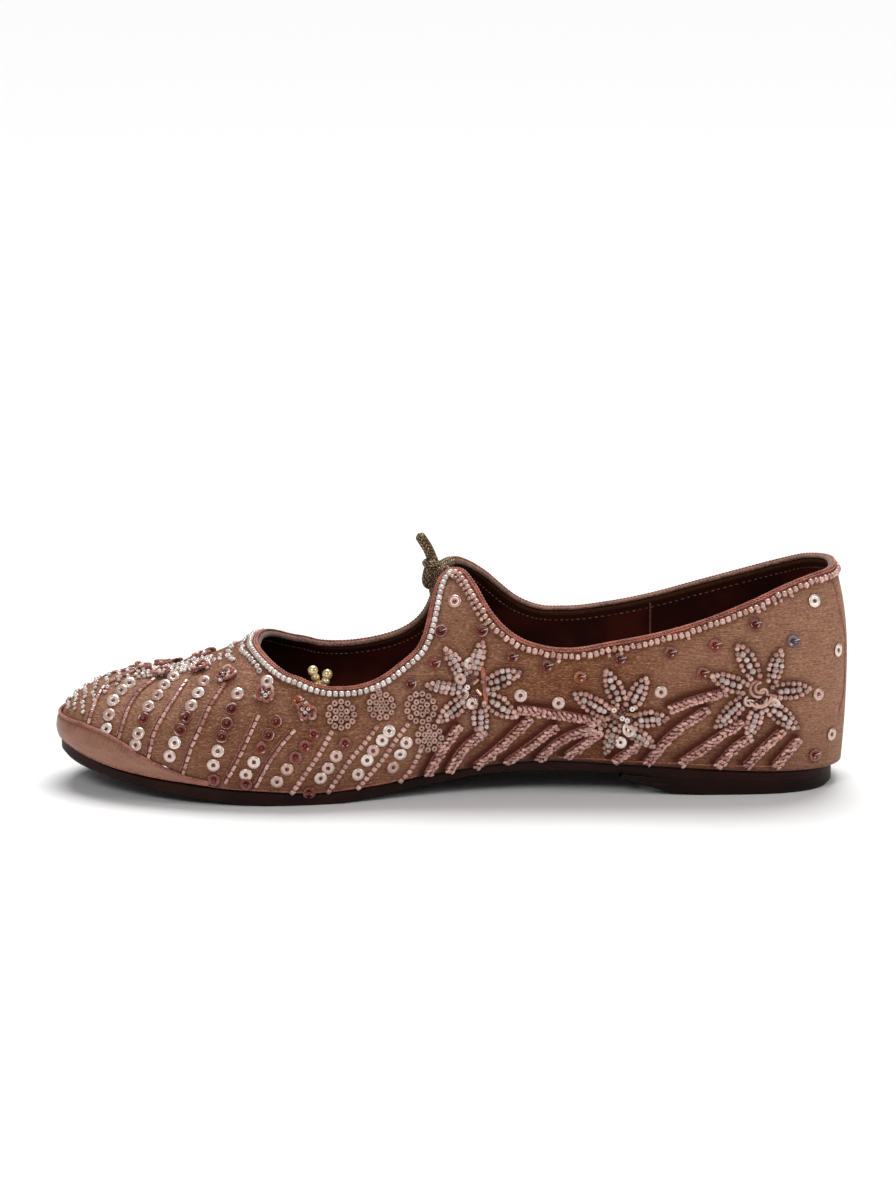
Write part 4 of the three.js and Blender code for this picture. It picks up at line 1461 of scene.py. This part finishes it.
def one_frame(spot, side):
    """The point, outward way, way to the toe and way up at one rib and height."""
    return [rows[0] for rows in cloth_frame(np.array([spot[0]]), side, np.array([spot[1]]))]


def sew_bead(beads, spot, side, size, lift=0.5, tone=None, spread=12.0):
    """One bead on a charted spot, tilted by chance within a spread of degrees."""
    here, out, ahead, up = one_frame(spot, side)
    way = ahead + up * chance.normal(0, 1)
    beads.add(here + out * lift, out, way, size, tone=tone, tilt=chance.normal(0, spread))
    # Painted shade on the cloth round the bead.
    painted_shade(here, 1.5, 0.75)


PETAL_TUCK = 0.12  # how much of its length each petal runs in under the heart
PETAL_SPREAD_PX = 3.0  # how much wider the beads lie than the petal's drawn width
PETAL_EDGE_PX = 2.6  # how far inside the petal's edge the middles of its beads lie
OUTLINE_BEAD_PX = 5.3
FILL_BEAD_PX = 5.8
FILLED_FROM_PX = 13  # petals that spread at least this wide have a row inside
PALE_SHARE = 0.12
BLUSH_SHARE = 0.6


def petal_spots(foot, tip, wide):
    """Spots of a petal's beads, its outline first and then the row inside, with their side of the middle."""
    foot = lerp(np.array(foot, float), np.array(tip, float), -PETAL_TUCK)
    axis = np.array(tip, float) - foot
    long = np.linalg.norm(axis)
    cross = np.array([-axis[1], axis[0]]) / long
    cross = -cross if cross[1] > 0 else cross
    half = lambda f: (wide / 2 - PETAL_EDGE_PX) * np.sin(math.pi * np.clip(0.16 + 0.84 * f, 0, 1)) ** 0.7
    f = np.linspace(0, 1, 60)
    spots = []
    for way in (1, -1):
        reached = walked(foot + axis * f[:, None] + cross * (way * half(f))[:, None])
        count = max(2, round(reached[-1] / OUTLINE_BEAD_PX))
        for step in range(count + (way > 0)):
            far = np.interp(reached[-1] * (step + 0.3 * (way < 0)) / count, reached, f)
            spots.append((foot + axis * far + cross * way * half(far), way))
    if wide >= FILLED_FROM_PX:
        count = max(2, round(long * 0.7 / FILL_BEAD_PX))
        spots += [(foot + axis * (0.12 + 0.68 * (k + 0.5) / count), 0) for k in range(count)]
    return spots


def add_flowers():
    """Three large flowers: petals outlined and filled with round beads strung towards their tips."""
    silver, clear, blush = (Sewing("round bead") for kind in range(3))
    for foot, tip, wide in PETALS:
        ends = chart([foot, tip])
        for side in BOTH:
            low, high = cloth_point(ends[:, 0], side, ends[:, 1])
            for spot, across in petal_spots(foot, tip, wide + PETAL_SPREAD_PX):
                found = chart_point(*(spot + chance.normal(0, 0.35, 2)))
                if found is None:
                    continue
                here, out, ahead, up = one_frame(found, side)
                if across == 0 or chance.random() < PALE_SHARE:
                    kind = silver
                else:
                    kind = blush if chance.random() < BLUSH_SHARE else clear
                long, thick, lift = (1.75, 1.85, 0.6) if across else (1.9, 2.1, 1.15)
                size = np.array([long, thick, thick]) * chance.uniform(0.9, 1.1)
                tilt = chance.normal(0, 16)
                kind.add(here + out * lift, out, high - low, size, tilt=tilt, turn=chance.normal(0, 25))
                # Painted shade on the cloth round the petal's bead.
                painted_shade(here, 1.7, 0.9)
    silver.piece("petal_beads_pale", PETAL_PALE, "seed_beads")
    clear.piece("petal_beads_dusky", CLEAR, "seed_beads")
    blush.piece("petal_beads_blush", BLUSH, "seed_beads")


def add_flower_hearts():
    """The hearts of the large flowers: small dark beads, folded sequins, tube beads and coiled silk."""
    dark = Sewing("ring bead")
    white = Sewing("ring bead")
    folded = Sewing("flat sequin")
    tubes = Sewing("tube bead")
    coils = bmesh.new()
    leaf = bmesh.new()
    for side in BOTH:
        for px, py, wide, high, count in DARK_HEARTS:
            for k in range(count):
                turn = SPIRAL_TURN * k
                far = math.sqrt((k + 0.5) / count)
                found = chart_point(px + wide * far * math.cos(turn), py + high * far * math.sin(turn))
                sew_bead(dark, found, side, 1.15, 0.6 + 0.5 * (1 - far), spread=35)
        for px, py, tone, lean in HEART_SEQUINS:
            here, out, ahead, up = one_frame(chart_point(px, py), side)
            spot = here + out * (0.9 + lean / 50)
            folded.add(spot, out, up, 4.0, tone=tone, tilt=lean, turn=chance.uniform(0, 360))
            dark.add(here + out * 0.95, out, up, 1.2, tone=0.0)
        for start, end, pale in HEART_TUBES:
            here, out, ahead, up = charted_frames([start, end], side)
            way = here[1] - here[0]
            size = (np.linalg.norm(way), 0.95, 0.95)
            tubes.add(here.mean(axis=0) + out[0] * 1.5, out[0], way, size, tone=pale)
        for px, py in HEART_BEADS:
            sew_bead(white, chart_point(px, py), side, 1.9, 1.5, tone=1.0, spread=30)
        for px, py, reach, start, sweep in HEART_COILS:
            here, out, ahead, up = one_frame(chart_point(px, py), side)
            across = towards_heel(out)
            rise = np.cross(out, across) * side
            turns = np.radians(np.linspace(start, start + sweep, 14))[:, None]
            ring = across * np.cos(turns) + rise * np.sin(turns)
            sew_cord(coils, here + ring * reach + out * (1.1 + 0.15 * reach), 0.45, 7)
        for shift in (-0.8, 0.3, 1.3):
            line = chart_line([(482 + shift * 0.6, 666), (484 + shift * 1.3, 682), (486 + shift * 0.8, 706)])
            here, out, way, reached = stepped(line, side, 1.2)
            sew_cord(leaf, here + out * (0.5 - 0.1 * abs(shift)), 0.42)
    dark.piece("heart_dark_beads", ROSE, "pink_beads")
    white.piece("heart_silver_beads", SILVER, "seed_beads")
    folded.piece("heart_sequins", FLAT_SEQUIN, "sequins")
    tubes.piece("heart_tube_beads", GOLD_TUBE, "seed_beads", smooth=False)
    add_piece("heart_coils", coils, PALE_SILK, "silk_thread")
    add_piece("heart_silk_leaf", leaf, LEAF_SILK, "silk_thread")


# Each row of a stem's beads, as its place above the middle, pitch, slant, lift and size of bead
ROPE_ROWS = (
    (0.75, 1.6, 0.75, 0.95, (2.1, 1.15, 1.15)),
    (-0.1, 2.0, 0.4, 0.75, (1.9, 1.05, 1.0)),
    (-0.9, 1.6, 0.1, 0.85, (1.9, 1.15, 1.1)),
)


def upward(out, way):
    """The way across a line that points up, at each of its points."""
    above = np.cross(out, way)
    return above * np.sign(above[:, 2:3])


def add_bead_ropes():
    """Leaning stems: rows of short beads laid together like a twisted rope, on rust silk, with painted shade
    on the cloth just above them.
    """
    beads = Sewing("round bead")
    silk = bmesh.new()
    for points in BEAD_ROPES:
        line = chart_line(points)
        for side in BOTH:
            here, out, way, reached = stepped(line, side, CORD_STEP)
            above = upward(out, way)
            sew_cord(silk, here + out * 0.05, 0.8)
            sew_cord(silk, here + out * 0.1 + above * 1.35, 0.45)
            # Painted shade on the cloth just above the stem.
            for point in here + above * 1.8:
                painted_shade(point, 2.1, 1.3)
            for row, pitch, lean, lift, size in ROPE_ROWS:
                here, out, way, reached = stepped(line, side, pitch, 0.4)
                back = way * np.sign(-way[:, :1])
                for point, face, above, back in zip(here, out, upward(out, way), back):
                    slant = back - above * (lean + chance.normal(0, 0.3))
                    spot = point + above * (row + chance.normal(0, 0.14))
                    spot = spot + face * (lift + chance.normal(0, 0.12))
                    size_now = np.array(size) * chance.uniform(0.88, 1.1)
                    beads.add(spot, face, slant, size_now, tilt=chance.normal(0, 14))
    beads.piece("rope_beads", PINK, "pink_beads")
    add_piece("rope_silk", silk, RUST, "silk_thread")


APEX_S = 124.5  # the ear's tip
COLLAR_BEAD_DROP = 1.45
COLLAR_BEAD_PITCH = 1.93


def add_collar_beads():
    """A row of seed beads below the piping: silver round the throat, peach and uneven behind the ears."""
    silver = Sewing("row bead")
    peach = Sewing("row bead")
    points, outs, ups = rim_line()
    line = points - ups * COLLAR_BEAD_DROP
    spots = even_points(np.concatenate([line, line[:1]]), round(walked(line)[-1] / COLLAR_BEAD_PITCH))[:-1]
    ways = unit(np.roll(spots, -1, axis=0) - np.roll(spots, 1, axis=0))
    for spot, way in zip(spots, ways):
        near, normal, index, distance = CLOTH.tree.find_nearest(Vector(place(spot)))
        out = heading(normal)
        base = unplace(near)
        down = np.cross(out, way)
        down = down * -np.sign(down[2])
        # Painted shade on the cloth just below the bead.
        painted_shade(base + down * 0.8, 1.3, 0.5)
        if spot[0] > APEX_S:
            silver.add(base + out * 0.65, out, way, (1.8, 2.05, 1.8), turn=chance.normal(0, 5))
            continue
        size = np.array([1.6 + 0.25 * chance.random(), 1.95 + 0.25 * chance.random(), 1.7])
        shift = down * chance.normal(0.1, 0.2)
        peach.add(base + out * 0.65 + shift, out, way, size, turn=chance.normal(0, 20))
        if spot[0] > APEX_S - 12 or chance.random() < 0.1:
            peach.add(base + out * 0.5 + down * 1.55, out, way, size * 0.72, turn=chance.normal(0, 30))
    silver.piece("collar_beads_silver", SILVER, "seed_beads")
    peach.piece("collar_beads_blush", BLUSH, "seed_beads")


def top_point(s, y):
    """The point and the outward way of the vamp's top over (s, y), or None."""
    start = Vector(place((s, y, 90.0)))
    hit, normal, index, distance = CLOTH.tree.ray_cast(start, Vector((0, 0, -1)))
    return (unplace(hit), heading(normal)) if hit else (None, None)


# Where the toe's arcs cross the ridge, as s, from the throat to the tip
TOE_ARC_PLACES = [192, 196, *np.arange(199.2, 226, 1.5), 228, 231, 234.5, 238, 241.5, 244.5, 247.2]
ARC_BEND = 4.4  # how far the first arc falls back, 20 mm from the ridge
STRAIGHT_FROM = 9  # the first arc that runs straight
ARC_REACH = 26.0
SHORT_REACH = 8.0
LONG_FROM_S = 226
BAND_MARGIN = 2.0
ARC_STEP = 0.15
# Least size and pitch of the beads, of the two arcs at the throat and of the others
THROAT_ARCS = (1.7, 2.5)
OTHER_ARCS = (1.35, 2.1)
# How far down the inner side the toe's arcs reach, as x and y of the photograph
TOE_LOWEST = (
    (60, 80, 92, 97, 110, 131, 157, 184, 205, 216, 234, 240, 262),
    (722, 717, 708, 704, 692, 683, 677, 674, 670, 661, 662, 669, 681),
)


def photo_place(point):
    """The pixel of the photograph at which a point of the last is seen."""
    ray = np.array(place(point)) - EYE
    depth = ray @ AHEAD
    return AIM_PX[0] + FOCAL_PX * (ray @ RIGHT) / depth, AIM_PX[1] - FOCAL_PX * (ray @ UP) / depth


def add_toe_beads():
    """Arcs of silver beads over the toe, which follow the throat and straighten towards the tip."""
    beads = Sewing("ring bead")
    for arc, ridge_s in enumerate(TOE_ARC_PLACES):
        bend = ARC_BEND * max(0.0, 1 - arc / STRAIGHT_FROM)
        middle = float(at(RISE, "ridge_middle", ridge_s))
        reach = ARC_REACH if arc % 2 or arc < 2 or ridge_s > LONG_FROM_S else SHORT_REACH
        least, pitch = OTHER_ARCS if arc > 1 else THROAT_ARCS
        for side in BOTH:
            y = 0.0 if side == MEDIAL else 1.2
            last = None
            while y < reach:
                s = ridge_s - bend * (y / 20) ** 2
                here, out = top_point(s, middle + side * y)
                if here is None or here[2] < at(BAND, "top", here[0]) + BAND_MARGIN:
                    break
                px, py = photo_place(here)
                if side == MEDIAL and py > np.interp(px, *TOE_LOWEST):
                    reach = y
                    break
                if last is None or np.linalg.norm(here - last) > pitch:
                    size = least + 0.35 * chance.random()
                    spot, face = top_point(s + chance.normal(0, 0.3), middle + side * y)
                    tilt = chance.normal(0, 20)
                    beads.add(spot + face * 0.4, face, (0, 1, 0), size, tone=chance.random(), tilt=tilt)
                    # Painted shade on the cloth round the toe bead.
                    painted_shade(here, 1.2, 0.3)
                    last = here
                y += ARC_STEP
    beads.piece("toe_beads", SILVER, "seed_beads")


def add_small_flowers():
    """Little flowers on the vamp: loops of coiled silk, a dark cup sequin and a few silver beads."""
    loops = bmesh.new()
    pale = bmesh.new()
    beads = Sewing("ring bead")
    cups = Sewing("cup sequin")
    places = [(spot, side) for spot in SMALL_FLOWERS for side in BOTH if (spot, side) != HIDDEN_FLOWER]
    frames = [one_frame(chart_point(*spot), side) for spot, side in places]
    here, out = top_point(*RIDGE_FLOWER)
    frames.append([here, out, unit(np.cross((0, 1, 0), out)), np.array([0.0, 1.0, 0.0])])
    for number, (here, out, ahead, up) in enumerate(frames):
        start = 1.9 * (number // 2)
        around = lambda turn: ahead * math.cos(turn) + up * math.sin(turn)
        middle = here + out * 1.2 - around(start) * 0.8
        cups.add(middle, out, ahead, 3.8, tone=0.1, tilt=24, turn=math.degrees(start))
        for k in range(6):
            turn = start + 1.1 * k + chance.normal(0, 0.25)
            middle = here + around(turn) * (1.3 + 0.9 * chance.random()) + out * (0.7 + 0.14 * k)
            reach = 0.8 + 0.45 * chance.random()
            arc = [
                middle + around(turn + a) * reach + out * 0.5 * math.cos(a / 2)
                for a in np.linspace(-2.1, 1.6 + 0.6 * chance.random(), 10)
            ]
            sew_cord(pale if k == 4 else loops, np.array(arc), 0.5, 7)
        for k in range(7):
            spot = here + around(start + SPIRAL_TURN * k) * (0.7 + 0.36 * k) + out * (1.35 - 0.12 * k)
            beads.add(spot, out, ahead, 1.3 + 0.4 * chance.random(), tilt=chance.normal(0, 35))
        # Painted shade on the cloth round the small flower.
        painted_shade(here, 3.0, 0.8)
    add_piece("small_flower_loops", loops, CORAL, "silk_thread")
    add_piece("small_flower_pale_loops", pale, PALE_SILK, "silk_thread")
    beads.piece("small_flower_beads", SILVER, "seed_beads")
    cups.piece("small_flower_cups", DARK_CUP, "sequins")


LINING_SEAM_S = 61
SEAM_DEEP = 3.0  # how far below the rim the stitches of the facing run
# Start, end and height of the threads where the upper meets the sole
SOLE_SEAMS = ((136, 206, 0.012), (8, 92, 0.022))


def add_seams(band_top_edge, band_bottom_edge):
    """Silk threads along the toe band, over the sole and down the back, and inside the lining."""
    threads = bmesh.new()
    sew_cord(threads, band_top_edge, 0.5)
    sew_cord(threads, band_bottom_edge, 0.26)
    for side in BOTH:
        for start, end, height in SOLE_SEAMS:
            u = np.linspace(u_of(start), u_of(end), 120)
            here, out, ahead, up = cloth_frame(u, side, np.full(len(u), height))
            sew_cord(threads, here + out * 0.02, 0.26)
    line = chart_line(BACK_SEAM)
    here, out, way, reached = stepped(line, MEDIAL, 1.5)
    sew_cord(threads, here, 0.3)
    # Painted shade on the cloth along the back seam.
    for point in here:
        painted_shade(point, 0.9, 0.5)
    add_piece("seam_threads", threads, RUST_CORAL, "silk_thread")
    inside = bmesh.new()
    points, outs, ups = rim_line()
    depth = CLOTH_THICK + LINING_THICK + 0.18
    dashes = points - ups * SEAM_DEEP - outs * depth
    for start in range(0, len(dashes) - 4, 5):
        sew_cord(inside, dashes[start:start + 4], 0.24, 5)
    here, out, ahead, up = cloth_frame(np.full(40, u_of(LINING_SEAM_S)), LATERAL, np.linspace(0.45, 0.95, 40))
    sew_cord(inside, here - out * depth, 0.35, 5)
    add_piece("lining_stitches", inside, RUST, "silk_thread")


def add_floor():
    bm = bmesh.new()
    bmesh.ops.create_grid(bm, x_segments=1, y_segments=1, size=6)
    in_scene("floor", mesh_of("floor", bm, floor_finish()))


def add_softbox(name, where, size, watts):
    lamp = bpy.data.lights.new(name, "AREA")
    lamp.shape = "DISK"
    lamp.size = size
    lamp.energy = watts
    light = in_scene(name, lamp)
    light.location = where
    light.rotation_euler = (Vector(AIM) - Vector(where)).to_track_quat("-Z", "Y").to_euler()


def add_studio():
    scene = bpy.context.scene
    scene.view_settings.view_transform = "Standard"
    scene.world = bpy.data.worlds.new("studio")
    scene.world.use_nodes = True
    backdrop = scene.world.node_tree.nodes["Background"]
    backdrop.inputs["Color"].default_value = (1, 1, 1, 1)
    backdrop.inputs["Strength"].default_value = 0.19
    sky = bpy.data.lights.new("overhead_diffuser", "SUN")
    sky.energy = 3.1
    sky.angle = math.radians(40)
    in_scene("overhead_diffuser", sky).rotation_euler = (math.radians(-30), math.radians(2), 0)
    add_softbox("left_softbox", (-0.6, -1.35, 1.15), 0.7, 8.5)
    add_softbox("heel_softbox", (1.1, -0.5, 0.7), 0.6, 5)


add_camera()
add_tie()
CLOTH = add_upper()
add_lining()
band_edges = add_toe_band()
add_piping()
SILVER = bead_finish("silver_seed_bead", (178, 154, 142), (250, 238, 230), 0.14, 0.1)
PETAL_PALE = bead_finish("petal_seed_bead", (150, 122, 112), (222, 198, 190), 0.12)
CLEAR = bead_finish("clear_seed_bead", (124, 84, 70), (204, 160, 142), 0.12)
BLUSH = bead_finish("blush_seed_bead", (146, 92, 80), (234, 188, 172), 0.12)
PINK = bead_finish("pink_tube_bead", (134, 72, 62), (236, 186, 172), 0.1)
ROSE = bead_finish("rose_bead", (52, 14, 12), (150, 82, 70), 0.2)
GOLD_TUBE = bead_finish("gold_tube_bead", (128, 74, 36), (214, 162, 124), 0.15, 0.2)
FLAT_SEQUIN = bead_finish("flat_sequin", (190, 140, 122), (250, 234, 224), 0.2, 0.2)
CUP_RIM = (132, 62, 42)
DARK_CUP = bead_finish("dark_cup_sequin", (88, 24, 12), (134, 50, 28), 0.2, 0.0, CUP_RIM)
ORANGE_CUP = bead_finish("orange_cup_sequin", (116, 54, 20), (170, 88, 36), 0.15, 0.1, CUP_RIM)
SMOKY_CUP = bead_finish("smoky_cup_sequin", (84, 62, 68), (126, 104, 112), 0.15, 0.1)
RUST = silk_finish("rust_silk", (82, 28, 18), (122, 54, 40))
RUST_CORAL = silk_finish("seam_silk", (116, 54, 40), (156, 84, 66))
CORAL = silk_finish("coral_silk", (108, 42, 30), (164, 84, 66))
LEAF_SILK = silk_finish("leaf_silk", (112, 52, 32), (172, 98, 68))
PALE_SILK = silk_finish("pale_silk", (150, 104, 90), (222, 188, 172))
DARK_SILK = silk_finish("dark_silk", (30, 10, 8), (52, 22, 16))
add_vamp_lines()
add_sequins()
add_bead_leaves()
add_flowers()
add_flower_hearts()
add_bead_ropes()
add_collar_beads()
add_toe_beads()
add_small_flowers()
add_seams(*band_edges)
paint_shade_beside_embroidery()
add_outsole()
add_heel_lift()
add_insole()
add_floor()
add_studio()
